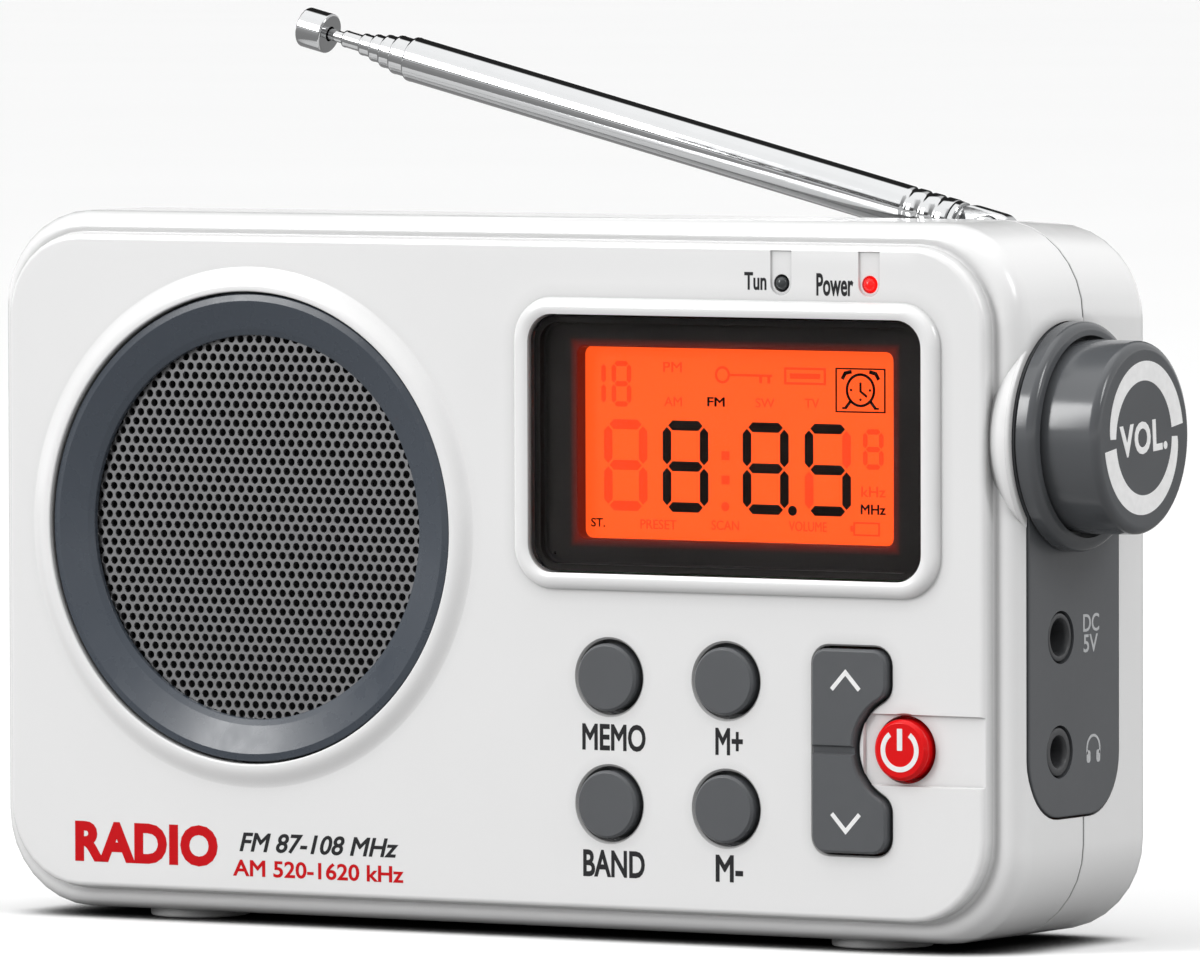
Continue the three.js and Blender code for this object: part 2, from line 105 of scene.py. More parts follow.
FOOT_RADIUS = 7.7
FOOT_TOP = 1.9
# where ink starts and ends along the axis of the face that it is printed on
CASE_INK = (-0.03, 0.05)
ROCKER_INK = (-1.24, -1.15)
POWER_INK = (-1.46, -1.35)
PANEL_INK = (91.15, 91.24)
KNOB_INK = (103.84, 103.94)
PIVOT = (67.2, 36.0, 107.15)
TILT = radians(14)
AERIAL_LENGTH = 126.5
# the aerial's sections: outer radius, and how far the lip is from the end of the tip
SECTIONS = [
    (3.5, 20.3), (3.05, 17.4), (2.6, 15.2), (2.15, 13.1), (1.72, 10.9), (1.32, 7.4), (0.92, 2.2),
]
CRIMPS = (8.6, 11.2, 13.8)  # from the pivot
CRIMP_SHAPE = [(-0.7, 0), (-0.35, 0.16), (0, 0.24), (0.35, 0.16), (0.7, 0)]

rear_low, rear_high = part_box("rear_shell")
ROW_SHIFT = Vector(((rear_low.x + rear_high.x) / 2, rear_high.y - BACK_Y * MM, 0))
TO_ROW = Matrix.Translation(ROW_SHIFT) @ Matrix.Diagonal((MM, MM, MM, 1))
MAST = Matrix.Translation(PIVOT) @ Matrix.Rotation(pi + TILT, 4, "Y")
SCENE = bpy.context.scene


# ---------------- outlines and profiles
def rounded(corners, steps=6, closed=False):
    """A polyline whose corners given as (u, v, radius) are turned into arcs."""
    points = []
    count = len(corners)
    for i, corner in enumerate(corners):
        here = Vector(corner[:2])
        radius = corner[2] if len(corner) > 2 else 0
        if not radius or (not closed and i in (0, count - 1)):
            points.append(tuple(here))
            continue
        back = (Vector(corners[i - 1][:2]) - here).normalized()
        ahead = (Vector(corners[(i + 1) % count][:2]) - here).normalized()
        half = acos(max(-1.0, min(1.0, back.dot(ahead)))) / 2
        centre = here + (back + ahead).normalized() * radius / sin(half)
        start = here + back * radius / tan(half) - centre
        end = here + ahead * radius / tan(half) - centre
        sweep = atan2(start.x * end.y - start.y * end.x, start.dot(end))
        for k in range(steps + 1):
            turn = Matrix.Rotation(sweep * k / steps, 2)
            points.append(tuple(centre + turn @ start))
    return points


def rect(x, z, width, height, radius, steps=8):
    """A rounded rectangle's outline, anticlockwise."""
    left, right = x - width / 2, x + width / 2
    low, high = z - height / 2, z + height / 2
    corners = [(right, low), (right, high), (left, high), (left, low)]
    return rounded([(*c, radius) for c in corners], steps, True)


def arc(x, z, radius, start, end, steps):
    """Points on a circle, by angles in radians."""
    turns = [start + (end - start) * k / steps for k in range(steps + 1)]
    return [(x + radius * cos(a), z + radius * sin(a)) for a in turns]


def inset(outline, by):
    """The anticlockwise outline moved inwards by that much, or outwards if it is negative."""
    moved = []
    count = len(outline)
    for i, (u, v) in enumerate(outline):
        pu, pv = outline[i - 1]
        nu, nv = outline[(i + 1) % count]
        before = Vector((v - pv, pu - u)).normalized()
        after = Vector((nv - v, u - nu)).normalized()
        both = before + after
        shift = both * (2 * by / both.length_squared)
        moved.append((u - shift.x, v - shift.y))
    return moved


def between(a, b, share):
    return tuple(p + (q - p) * share for p, q in zip(a, b))


def rocker_outline():
    """The tuning rocker: an upright bar, scooped on the right around the power button."""
    corner = ROCKER["corner"]
    fillet = ROCKER["fillet"]
    left = ROCKER["left"] + corner
    right = ROCKER["right"] - corner
    bottom = ROCKER["bottom"] + corner
    top = ROCKER["top"] - corner
    fillet_x = ROCKER["right"] - fillet
    reach = ROCKER["scoop"] + fillet
    half = acos((POWER[0] - fillet_x) / reach)
    rise = reach * sin(half)
    quarter = pi / 2
    return (
        arc(right, bottom, corner, -quarter, 0, 6)
        + arc(fillet_x, POWER[1] - rise, fillet, 0, half, 6)
        + arc(*POWER, ROCKER["scoop"], pi + half, pi - half, 18)[1:-1]
        + arc(fillet_x, POWER[1] + rise, fillet, -half, 0, 6)
        + arc(right, top, corner, 0, quarter, 6)
        + arc(left, top, corner, quarter, 2 * quarter, 6)
        + arc(left, bottom, corner, 2 * quarter, 3 * quarter, 6)
    )


def panel_outline():
    """The side panel in Y and Z: a strip with a round lower end, and a disc under the collar."""
    front = PANEL["front"]
    back = PANEL["back"]
    radius = PANEL["disc"]
    corner = PANEL["corner"]
    low = PANEL["bottom"] + corner
    y, z = VOLUME
    at_back = -acos((back - y) / radius)
    at_front = pi + acos((y - front) / radius)
    return (
        arc(back - corner, low, corner, -pi / 2, 0, 10)
        + arc(y, z, radius, at_back, at_front, 64)
        + arc(front + corner, low, corner, pi, 1.5 * pi, 10)
    )


# ---------------- solids, as bmesh in millimetres
def along(axis, u, v, w):
    """The point whose distance along the axis is w."""
    return {"x": (w, u, v), "y": (u, w, v), "z": (u, v, w)}[axis]


def loft(rings, loop=False):
    """A closed solid through rings of points. A ring of one point is a pole."""
    solid = bmesh.new()
    rows = [[solid.verts.new(p) for p in ring] for ring in rings]
    pairs = list(zip(rows, rows[1:]))
    if loop:
        pairs.append((rows[-1], rows[0]))
    for a, b in pairs:
        for i in range(max(len(a), len(b))):
            j = i + 1
            corners = (a[i % len(a)], a[j % len(a)], b[j % len(b)], b[i % len(b)])
            solid.faces.new(list(dict.fromkeys(corners)))
    if not loop:
        for row in (rows[0], rows[-1]):
            if len(row) > 2:
                solid.faces.new(row)
    bmesh.ops.recalc_face_normals(solid, faces=solid.faces)
    return solid


def prism(axis, outline, profile):
    """The outline drawn along the axis, where profile lists (inset, distance along the axis)."""
    return loft([[along(axis, *p, w) for p in inset(outline, by)] for by, w in profile])


def lathe(axis, centre, profile, sides=48, loop=False):
    """A profile of (radius, distance along the axis), turned about the axis through centre."""
    turns = [2 * pi * k / sides for k in range(sides)]
    rings = []
    for radius, w in profile:
        if radius < 1e-6:
            rings.append([along(axis, *centre, w)])
            continue
        ring = [(centre[0] + radius * cos(a), centre[1] + radius * sin(a)) for a in turns]
        rings.append([along(axis, *p, w) for p in ring])
    return loft(rings, loop)


def rod(axis, centre, radius, start, end, sides=32):
    return lathe(axis, centre, [(0, start), (radius, start), (radius, end), (0, end)], sides)


def tube(axis, centre, profile, sides=48):
    return lathe(axis, centre, profile, sides, loop=True)


def box(x0, x1, y0, y1, z0, z1):
    outline = [(x1, z0), (x1, z1), (x0, z1), (x0, z0)]
    return prism("y", outline, [(0, y0), (0, y1)])


def to_mesh(solid, name):
    """A mesh with the solid's faces. The solid is used up."""
    mesh = bpy.data.meshes.new(name)
    solid.to_mesh(mesh)
    solid.free()
    return mesh


def to_object(name, data):
    """An object of the scene that holds the data."""
    made = bpy.data.objects.new(name, data)
    SCENE.collection.objects.link(made)
    return made


def worked_out(item):
    """The object as a solid, with its modifiers applied or its letters filled."""
    bpy.context.view_layer.update()
    graph = bpy.context.evaluated_depsgraph_get()
    mesh = bpy.data.meshes.new_from_object(item.evaluated_get(graph))
    made = bmesh.new()
    made.from_mesh(mesh)
    bpy.data.meshes.remove(mesh)
    return made


def merge(*solids):
    """The solids side by side in one mesh, without joining their volumes."""
    merged = bmesh.new()
    for solid in solids:
        mesh = to_mesh(solid, "part")
        merged.from_mesh(mesh)
        bpy.data.meshes.remove(mesh)
    return merged


def moved(solid, matrix):
    bmesh.ops.transform(solid, matrix=matrix, verts=solid.verts)
    return solid


def boolean(solid, tools, operation):
    """The solid with each tool added to it or cut from it."""
    base, *others = [to_object("tool", to_mesh(item, "tool")) for item in (solid, *tools)]
    for other in others:
        step = base.modifiers.new("step", "BOOLEAN")
        step.object = other
        step.operation = operation
        step.solver = "MANIFOLD"
    made = worked_out(base)
    for used in [base, *others]:
        data = used.data
        bpy.data.objects.remove(used)
        bpy.data.meshes.remove(data)
    bmesh.ops.remove_doubles(made, verts=made.verts, dist=WELD)
    bmesh.ops.dissolve_degenerate(made, edges=made.edges, dist=WELD)
    return made


def joined(solid, *tools):
    return boolean(solid, tools, "UNION")


def carved(solid, *tools):
    return boolean(solid, tools, "DIFFERENCE")


def lettering(text, bold, lean=0.0, spacing=1.0):
    """The text as a thin closed mesh in u and v, one unit thick in w."""
    curve = bpy.data.curves.new("text", "FONT")
    curve.body = text
    curve.shear = lean
    curve.space_character = spacing
    curve.extrude = 0.5
    curve.bevel_depth = bold
    curve.bevel_resolution = 0
    curve.resolution_u = 4
    writer = to_object("text", curve)
    made = worked_out(writer)
    bpy.data.objects.remove(writer)
    bpy.data.curves.remove(curve)
    bmesh.ops.remove_doubles(made, verts=made.verts, dist=WELD / 10)
    return made


def fitted(letters, axis, u0, u1, v0, v1, w0, w1):
    """Letters stretched to fill a rectangle of the face across the axis, from w0 to w1."""
    low = [min(vert.co[k] for vert in letters.verts) for k in range(3)]
    high = [max(vert.co[k] for vert in letters.verts) for k in range(3)]
    targets = ((u0, u1), (v0, v1), (w0, w1))
    for vert in letters.verts:
        spot = [
            t0 + (t1 - t0) * (vert.co[k] - low[k]) / (high[k] - low[k])
            for k, (t0, t1) in enumerate(targets)
        ]
        vert.co = along(axis, *spot)
    bmesh.ops.recalc_face_normals(letters, faces=letters.faces)
    return letters


def plate(axis, outline, ends):
    """A flat printed shape, as a thin prism."""
    return prism(axis, outline, [(0, w) for w in ends])


def stroke(points, width):
    """The outline of a bent line of that width, anticlockwise."""
    sides = ([], [])
    last = len(points) - 1
    for i, point in enumerate(points):
        here = Vector(point)
        before = Vector(points[max(i - 1, 0)])
        after = Vector(points[min(i + 1, last)])
        out = (after - here if i < last else here - before).normalized()
        into = (here - before).normalized() if i else out
        normal = Vector((-into.y - out.y, into.x + out.x)).normalized()
        reach = width / 2 / max(0.35, normal.dot(Vector((-into.y, into.x))))
        sides[0].append(tuple(here + normal * reach))
        sides[1].append(tuple(here - normal * reach))
    return sides[1] + sides[0][::-1]


def ring_arc(x, z, inner, outer, start, end, steps=24):
    """The outline of a curved band."""
    return arc(x, z, outer, start, end, steps) + arc(x, z, inner, end, start, steps)


# ---------------- pieces
def piece(name, solid, body, material, stands_for=(), smooth=38):
    """Makes the solid a piece of the model, in the row frame, riding on a CAD body."""
    mesh = to_mesh(moved(solid, TO_ROW), name)
    mesh.materials.append(material)
    mesh.shade_smooth()
    mesh.set_sharp_from_angle(angle=radians(smooth))
    made = to_object(name, mesh)
    normals = made.modifiers.new("normals", "WEIGHTED_NORMAL")
    normals.keep_sharp = True
    normals.weight = 80
    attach(made, body)
    if stands_for:
        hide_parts(*stands_for)


# ---------------- materials
class Graph:
    """A node tree, whose nodes take each input as a value or as a socket to link."""

    def __init__(self, tree):
        self.tree = tree

    def fill(self, node, inputs):
        for name, value in inputs.items():
            if isinstance(value, bpy.types.NodeSocket):
                self.tree.links.new(value, node.inputs[name])
            else:
                node.inputs[name].default_value = value

    def node(self, kind, inputs=None, **settings):
        made = self.tree.nodes.new("ShaderNode" + kind)
        for name, value in settings.items():
            setattr(made, name, value)
        self.fill(made, inputs or {})
        return made

    def ranged(self, value, low, high, source_low=0.3, source_high=0.7):
        """The value brought from the source range to low and high, and held between them."""
        source = {"Value": value, "From Min": source_low, "From Max": source_high}
        return self.node("MapRange", source | {"To Min": low, "To Max": high}).outputs["Result"]

    def mix(self, factor, a, b):
        inputs = {"Factor": factor, "A": a, "B": b}
        return self.node("Mix", inputs, data_type="RGBA").outputs["Result"]

    def math(self, operation, a, b):
        return self.node("Math", {0: a, 1: b}, operation=operation).outputs["Value"]


class Surface(Graph):
    """A material around one Principled shader, in object coordinates and millimetres."""

    def __init__(self, name, colour, roughness, metallic=0.0):
        self.material = bpy.data.materials.new(name)
        self.material.use_nodes = True
        super().__init__(self.material.node_tree)
        self.shader = self.tree.nodes["Principled BSDF"]
        self.colour = colour
        self.set(Base_Color=(*colour, 1), Roughness=roughness, Metallic=metallic)
        self.place = self.node("TexCoord").outputs["Object"]

    def set(self, **inputs):
        self.fill(self.shader, {name.replace("_", " "): v for name, v in inputs.items()})
        return self

    def noise(self, size, detail=3.0, stretch=None):
        """Noise with features of that size."""
        source = self.place
        if stretch:
            source = self.node("Mapping", {"Vector": source, "Scale": stretch}).outputs["Vector"]
        inputs = {"Vector": source, "Scale": 1 / (size * MM), "Detail": detail}
        return self.node("TexNoise", inputs).outputs["Fac"]

    def vector(self, operation, *values):
        inputs = dict(enumerate(values))
        return self.node("VectorMath", inputs, operation=operation).outputs["Vector"]

    def tint(self, value, amount, other=None):
        """Varies the colour between two shades by value."""
        first = (*(other or self.dimmed(1 - amount)), 1)
        return self.set(Base_Color=self.mix(self.ranged(value, 0, 1), first, (*self.colour, 1)))

    def dimmed(self, share):
        return tuple(c * share for c in self.colour)

    def darken(self, lightness, share):
        """Brings the tinted colour down to that share where lightness is 0."""
        so_far = self.shader.inputs["Base Color"].links[0].from_socket
        return self.set(Base_Color=self.mix(lightness, (*self.dimmed(share), 1), so_far))

    def dim_bounce(self, share):
        """Lowers the light that the surface passes on to others, but not its own brightness."""
        return self.darken(self.node("LightPath").outputs["Is Camera Ray"], share)

    def shade(self, reach, amount, closed, clear):
        """Paints shade into the colour: darker where less of the view around it, up to reach, is open
        than clear.
        """
        near = self.node("AmbientOcclusion", {"Distance": reach * MM}, samples=6)
        return self.darken(self.ranged(near.outputs["AO"], 0, 1, closed, clear), 1 - amount)

    def gloss(self, value, low, high):
        """Varies the roughness between low and high by value."""
        return self.set(Roughness=self.ranged(value, low, high))

    def relief(self, value, height):
        """Bump of that height."""
        bump = self.node("Bump", {"Height": value, "Distance": height * MM, "Strength": 1.0})
        return self.set(Normal=bump.outputs["Normal"])


def gloss_plastic(name, colour, roughness, tint=0.03, waviness=0.004):
    """Polished moulding: faint flow shading, tiny polishing haze and a slight long-wave ripple."""
    made = Surface(name, colour, roughness)
    made.tint(made.noise(35), tint)
    made.gloss(made.noise(4, 5), roughness * 0.85, roughness * 1.2)
    return made.relief(made.noise(9, 1), waviness)


def grained_plastic(name, colour, roughness, grain=0.3, depth=0.004, tint=0.07):
    """Spark-eroded satin moulding: fine grain, with slightly uneven sheen."""
    made = Surface(name, colour, roughness)
    made.tint(made.noise(12, 4), tint)
    made.gloss(made.noise(1.5, 4), roughness * 0.88, roughness * 1.12)
    return made.relief(made.noise(grain, 2), depth)


def metal(name, colour, roughness, lines=(1, 1, 1), tint=0.05):
    """Metal with polishing lines drawn out along one direction."""
    made = Surface(name, colour, roughness, metallic=1.0)
    streaks = made.noise(1.0, 4, lines)
    made.tint(made.noise(6, 3), tint)
    made.gloss(streaks, roughness * 0.75, roughness * 1.3)
    return made.relief(streaks, 0.0015).material


def mottled(name, colour, roughness, patches, grain, stretch=None, **values):
    """Patches of (size, detail, tint) under a grain of (size, detail, depth)."""
    made = Surface(name, colour, roughness)
    made.tint(made.noise(*patches[:2]), patches[2])
    made.relief(made.noise(*grain[:2], stretch), grain[2])
    return made.set(**values)


def printed(name, colour):
    """Pad-printed ink: a slightly uneven film."""
    film = (1.2, 3, 0.08)
    return mottled(name, colour, 0.5, film, (0.25, 2, 0.003), Specular_IOR_Level=0.15).material


def lamp(name, colour, strength):
    glow = {"Emission_Color": (*colour, 1), "Emission_Strength": strength}
    return mottled(name, colour, 0.12, (1, 2, 0.2), (0.6, 1, 0.004), **glow).material


def segment(name, colour, **values):
    """Ink of the display's drawing."""
    made = Surface(name, colour, 0.4)
    made.tint(made.noise(3, 2), 0.1)
    return made.set(Specular_IOR_Level=0.08, **values).material


def board_material():
    made = Surface("solder_mask", (0.015, 0.12, 0.05), 0.4)
    inputs = {"Vector": made.place, "Scale": 250, "Mortar Size": 0.06}
    cells = made.node("TexBrick", inputs).outputs["Fac"]
    made.tint(cells, 0.0, (0.05, 0.3, 0.12))
    return made.relief(cells, 0.03).material


def window_material():
    made = Surface("clear_window", (1, 1, 1), 0.02)
    made.set(Transmission_Weight=1.0, IOR=1.1)
    return made.gloss(made.noise(5, 2), 0.01, 0.03).material


def mask_material():
    """The black surround, with the display's glow painted on as orange emission right beside its
    window.
    """
    painted_glow_reach = 1.3
    painted_glow_strength = 0.12
    endless = 1000
    made = mottled("black_surround", (0.017, 0.015, 0.014), 0.42, (12, 4, 0.2), (0.4, 2, 0.004))
    middle = TO_ROW @ Vector((LCD[0], 0, LCD[1]))
    half = Vector((LCD[2] / 2, endless, LCD[3] / 2)) * MM
    away = made.vector("ABSOLUTE", made.vector("SUBTRACT", made.place, middle))
    past = made.node("SeparateXYZ", {0: made.vector("SUBTRACT", away, half)}).outputs
    furthest = made.math("MAXIMUM", past["X"], past["Z"])
    # painted glow: emission strongest at the display's edge, gone at the reach
    glow = made.ranged(furthest, painted_glow_strength, 0, 0, painted_glow_reach * MM)
    made.set(Emission_Strength=glow, Emission_Color=(1.0, 0.03, 0.004, 1))
    return made.set(Specular_IOR_Level=0.1).material


KEY_COLOUR = (0.095, 0.1, 0.107)
# the white plastic has painted shade: darker where another surface is within 2.5 mm, in seams, gaps
# and grooves
WHITE = gloss_plastic("white_gloss", (0.87, 0.87, 0.87), 0.2, 0.015)
WHITE = WHITE.set(Coat_Weight=0.15).shade(2.5, 0.62, 0.22, 1.0).material
GREY = grained_plastic("grey_satin", KEY_COLOUR, 0.34, depth=0.002).material
KNOB_GREY = gloss_plastic("grey_knob", KEY_COLOUR, 0.17, 0.05, 0.003).material
RING = gloss_plastic("blue_grey_satin", (0.058, 0.07, 0.088), 0.27, 0.05, 0.003).material
RED = gloss_plastic("red_gloss", (0.8, 0.005, 0.007), 0.1, 0.06)
RED = RED.set(Specular_IOR_Level=0.25).material
JACK_GREY = grained_plastic("jack_grey", (0.05, 0.052, 0.055), 0.35).material
SWITCH = grained_plastic("switch_black", (0.02, 0.02, 0.021), 0.55, depth=0.01).material
DIFFUSER = grained_plastic("diffuser", (0.85, 0.83, 0.8), 0.6, 0.5, 0.006, 0.03).material
STEEL = metal("plated_steel", (0.5, 0.51, 0.53), 0.3)
GRILLE = metal("grille_sheet", (0.23, 0.23, 0.235), 0.42, (1, 1, 6))
CHROME = metal("bright_chrome", (0.5, 0.505, 0.51), 0.06, (0.3, 1.5, 1.5), 0.03)
COPPER = metal("winding", (0.6, 0.26, 0.1), 0.32, (12, 0.4, 0.4), 0.2)
INK_DARK = printed("dark_print", (0.024, 0.024, 0.026))
INK_RED = printed("red_print", (0.62, 0.001, 0.005))
INK_WHITE = printed("white_print", (0.95, 0.95, 0.95))
INK_PALE = printed("pale_print", (0.55, 0.56, 0.57))
RUBBER = mottled("grey_rubber", (0.36, 0.36, 0.36), 0.75, (3, 4, 0.15), (0.2, 3, 0.02)).material
FERRITE = mottled("sintered_ferrite", (0.03, 0.03, 0.032), 0.85, (2, 5, 0.35), (0.5, 5, 0.06)).material
PAPER = mottled(
    "pressed_paper", (0.02, 0.02, 0.022), 0.9, (0.8, 6, 0.4), (0.4, 6, 0.08), (1, 1, 3)
).material
BOARD = board_material()
WINDOW = window_material()
MASK = mask_material()
GLOW = mottled(
    "orange_display", (0.5, 0.04, 0.005), 0.35, (14, 2, 0.1), (0.3, 1, 0.002),
    Specular_IOR_Level=0.1, Emission_Color=(1.0, 0.1, 0.014, 1), Emission_Strength=0.95,
).material
LAMP_LIT = lamp("lamp_lit_red", (0.9, 0.003, 0.002), 1.3)
LAMP_DARK = lamp("lamp_smoked", (0.05, 0.055, 0.058), 0.0)
SEGMENT = segment("segment_dark", (0.006, 0.002, 0.001))
GHOST = segment(
    "segment_ghost", (0.5, 0.03, 0.008), Emission_Color=(1.0, 0.065, 0.01, 1), Emission_Strength=0.66
)


# ---------------- case
def front_profile():
    """(share of the way from the plateau's edge to the side, Y): plateau, groove and rounded rim."""
    rim_width = 3.6
    step = rounded([(-3, 0), (0, 0, 0.85), (0.12, 2.75, 0.35), (1.2, 2.5)], 6)
    edge = [(u / rim_width, y) for u, y in step]
    rim_start = 0.27
    rim_y = 2.55
    rim_depth = 4.4
    rim = []
    for k in range(13):
        turn = pi / 2 * k / 12
        out = rim_start + (1 - rim_start) * sin(turn)
        rim.append((out, rim_y + rim_depth * (1 - cos(turn))))
    return edge[:-1] + rim + [(1, SPLIT_Y - PARTING - 0.1)]


def front_outside():
    """The front shell as a solid block, with a small chamfer at the parting line."""
    profile = front_profile()
    rings = [rect(*between(PLATEAU, CASE, out)) for out, _ in profile]
    depths = [y for _, y in profile]
    rings.append(inset(rect(*CASE), 0.1))
    depths.append(SPLIT_Y - PARTING)
    return loft([[(x, y, z) for x, z in ring] for ring, y in zip(rings, depths)])


def speaker_lip():
    """A soft raised edge round the loudspeaker, highest beside the ring."""
    height = 1.25
    start = 37.1
    width = 3.4
    foot = 1.5  # below the face, inside the shell
    steps = 16
    crest = rounded([(LIP_INNER, foot), (LIP_INNER, -height, 0.3), (start, -height)], 4)
    for k in range(1, steps + 1):
        fall = (1 + cos(pi * k / steps)) / 2
        crest.append((start + width * k / steps, 0.02 - height * fall))
    crest.append((start + width, foot))
    return tube("y", SPEAKER, crest, 160)


def display_frame():
    """The raised frame round the display, whose outer edge is a round bead."""
    bead = [
        (0, 1.5), (0, 0), (0.2, -0.62), (0.6, -1.08), (1.1, -1.33), (1.6, -1.4), (2.1, -1.36),
        (2.6, -1.18), (3.1, -0.9),
    ]
    return prism("y", rect(*FRAME, 12), bead)


def flare():
    """The swelling of the case's side towards the volume control's collar."""
    profile = [(0, 78), (14.2, 83), (18.3, 89.2, 6), (18.6, 90.9, 0.5), (17, 90.95), (0, 90.95)]
    return lathe("x", VOLUME, rounded(profile), 96)


def key_hole(at, radius):
    """A round hole through the front face, with a chamfered edge."""
    chamfer = 0.35
    wide = radius + chamfer
    profile = [(0, -2), (wide, -2), (wide, 0), (radius, chamfer), (radius, 5), (0, 5)]
    return lathe("y", at, profile, 64)


def slot_outline(x, z):
    """A shallow slot with a round lower end around the lamp and a square top."""
    half = 1.7
    top = 105.1
    return [(x + half, top), (x - half, top)] + arc(x, z, half, pi, 2 * pi, 12)


def foot_seats():
    """Recesses for the feet."""
    return [rod("z", at, FOOT_RADIUS + 0.3, -1, 2.2, 48) for at in FEET.values()]


def panel_seat():
    return prism("x", panel_outline(), [(-0.3, 88.5), (-0.3, 95)])


def front_case():
    outside = joined(front_outside(), speaker_lip(), display_frame(), flare())
    hollow = prism("y", rect(*CASE), [(WALL, 5), (WALL, SPLIT_Y + 5)])
    behind_plateau = prism("y", rect(0, 55.3, 168, 96, 9), [(0, 2.6), (0, 5.2)])
    speaker = rod("y", SPEAKER, LIP_INNER, -3, 6, 128)
    lens = prism("y", rect(*LENS), [(-0.3, -3), (-0.3, 6)])
    keys = [key_hole(at, KEY_HOLE) for at in KEYS.values()]
    rocker_hole = prism("y", rocker_outline(), [(-0.65, -2), (-0.65, 0), (-0.38, 0.3), (-0.38, 5)])
    power = key_hole(POWER, POWER_RADIUS + 0.55)
    strip = prism("y", rect(81, 30.6, 30, 10.4, 0.6, 4), [(-0.3, -1), (-0.3, -0.2), (0, 0.5)])
    slot_depths = [(-0.2, -1), (-0.2, -0.1), (0, 0.3)]
    slots = [prism("y", slot_outline(*at), slot_depths) for at in LEDS.values()]
    leds = [rod("y", at, 1.35, -3, 6, 24) for at in LEDS.values()]
    shell = carved(
        outside, hollow, behind_plateau, speaker, lens, *keys, rocker_hole, power, strip, *slots,
        *leds, panel_seat(), *foot_seats(),
    )
    post = [(1.75, 4.5), (4, 4.5), (4, 29.6), (1.75, 29.6)]
    return joined(shell, *[tube("y", at, post, 32) for at in POSTS])


def rear_rect(by, draft):
    x, z, width, height, corner = CASE
    return rect(x, z - draft / 2, width - 2 * by, height - 2 * by - draft, corner - by)


def rear_form(by, start, end, edge, lip=0.0):
    """The rear shell's form, whose top comes down towards the back, with rounded back edges."""
    slope = DRAFT / (BACK_Y - SPLIT_Y)
    stations = [(lip, start)] if lip else []
    stations += [(0, start + lip), (0, end - edge)]
    for k in range(1, 9):
        turn = pi / 2 * k / 8
        stations.append((edge * (1 - cos(turn)), end - edge * (1 - sin(turn))))
    rings = [(rear_rect(by + more, slope * max(0, y - SPLIT_Y)), y) for more, y in stations]
    return loft([[(x, y, z) for x, z in ring] for ring, y in rings])


def rear_walls():
    """The rear shell with the walls of its battery bay and aerial trough, and its screw posts."""
    start = SPLIT_Y + PARTING
    bay_wall = 2.9
    bay = box(
        BAY["x0"] - bay_wall, BAY["x1"] + bay_wall, BAY["y0"] - 1.6, BACK_Y - 1.5,
        BAY["z0"] - bay_wall, BAY["z1"] + bay_wall,
    )
    trough = box(
        TROUGH["x0"] - WALL, TROUGH["x1"] + WALL, TROUGH["y"] - WALL, BACK_Y - 1.2,
        TROUGH["z"] - WALL, TOP_Z - 2,
    )
    posts = [rod("y", at, 4.6, 30, 43, 32) for at in POSTS]
    outside = rear_form(0, start, BACK_Y, 4.2, 0.1)
    hollow = rear_form(WALL, start - 3, BACK_Y - WALL, 2)
    return joined(carved(outside, hollow), bay, trough, *posts)


def trough_cut():
    """The space for the folded aerial, open to the top and the back."""
    open_z = 120
    width = TROUGH["x1"] - TROUGH["x0"]
    middle = (TROUGH["x0"] + TROUGH["x1"]) / 2
    outline = rect(middle, (TROUGH["z"] + open_z) / 2, width, open_z - TROUGH["z"], 2.5)
    return prism("y", outline, [(0, TROUGH["y"]), (0, BACK_Y + 1)])


def rear_case():
    seat = [(0, SCREW_SEAT), (3.2, SCREW_SEAT), (3.2, 43.7), (3.7, 44.3), (3.7, 46), (0, 46)]
    screws = [rod("y", at, 1.75, 29, 37, 24) for at in POSTS]
    bores = [lathe("y", at, seat, 32) for at in POSTS]
    bay = box(BAY["x0"], BAY["x1"], BAY["y0"], BACK_Y + 1, BAY["z0"], BAY["z1"])
    recess = [(-0.35, BACK_Y - 2.1), (-0.35, BACK_Y - 0.3), (-0.65, BACK_Y + 0.5)]
    scoop = [(0, BACK_Y - 1.6), (6, BACK_Y - 1.3), (9, BACK_Y + 0.6), (0, BACK_Y + 0.6)]
    return carved(
        rear_walls(), *screws, *bores, *foot_seats(), bay, prism("y", rect(*DOOR), recess),
        trough_cut(), panel_seat(), lathe("y", (DOOR[0], 57.5), scoop, 48),
    )


def battery_door():
    """The door, with five finger ribs cut into it."""
    face = [(0, BACK_Y - 1.8), (0, BACK_Y - 0.35), (0.12, BACK_Y - 0.1), (0.4, BACK_Y)]
    cut = [(0, BACK_Y - 0.4), (0, BACK_Y + 0.1)]
    heights = [50.2 - 1.9 * k for k in range(5)]
    ribs = [prism("y", rect(DOOR[0], z, 22, 0.9, 0.44, 4), cut) for z in heights]
    return carved(prism("y", rect(*DOOR), face), *ribs)


def foot(at):
    """A round pad with two rings cut into its underside."""
    radius = FOOT_RADIUS
    disc = rounded([(0, 0), (radius, 0, 0.35), (radius, FOOT_TOP, 0.15), (0, FOOT_TOP)], 4)
    rings = [
        tube("z", at, [(r, -0.2), (r + 0.5, -0.2), (r + 0.5, 0.2), (r, 0.2)], 48) for r in (3.2, 5.0)
    ]
    return carved(lathe("z", at, disc, 64), *rings)


def build_case():
    piece("case_front", front_case(), "case", WHITE, ["front_shell"], 32)
    piece("case_rear", rear_case(), "case", WHITE, ["rear_shell"], 32)
    piece("case_battery_door", battery_door(), "door", WHITE, ["battery_door"])
    for name, at in FEET.items():
        piece("case_" + name, foot(at), "case", RUBBER, [name])
    for i, at in enumerate(POSTS):
        name = f"case_screw_{i + 1}"
        piece(name + "_turned", screw(at), "case", STEEL, [name])


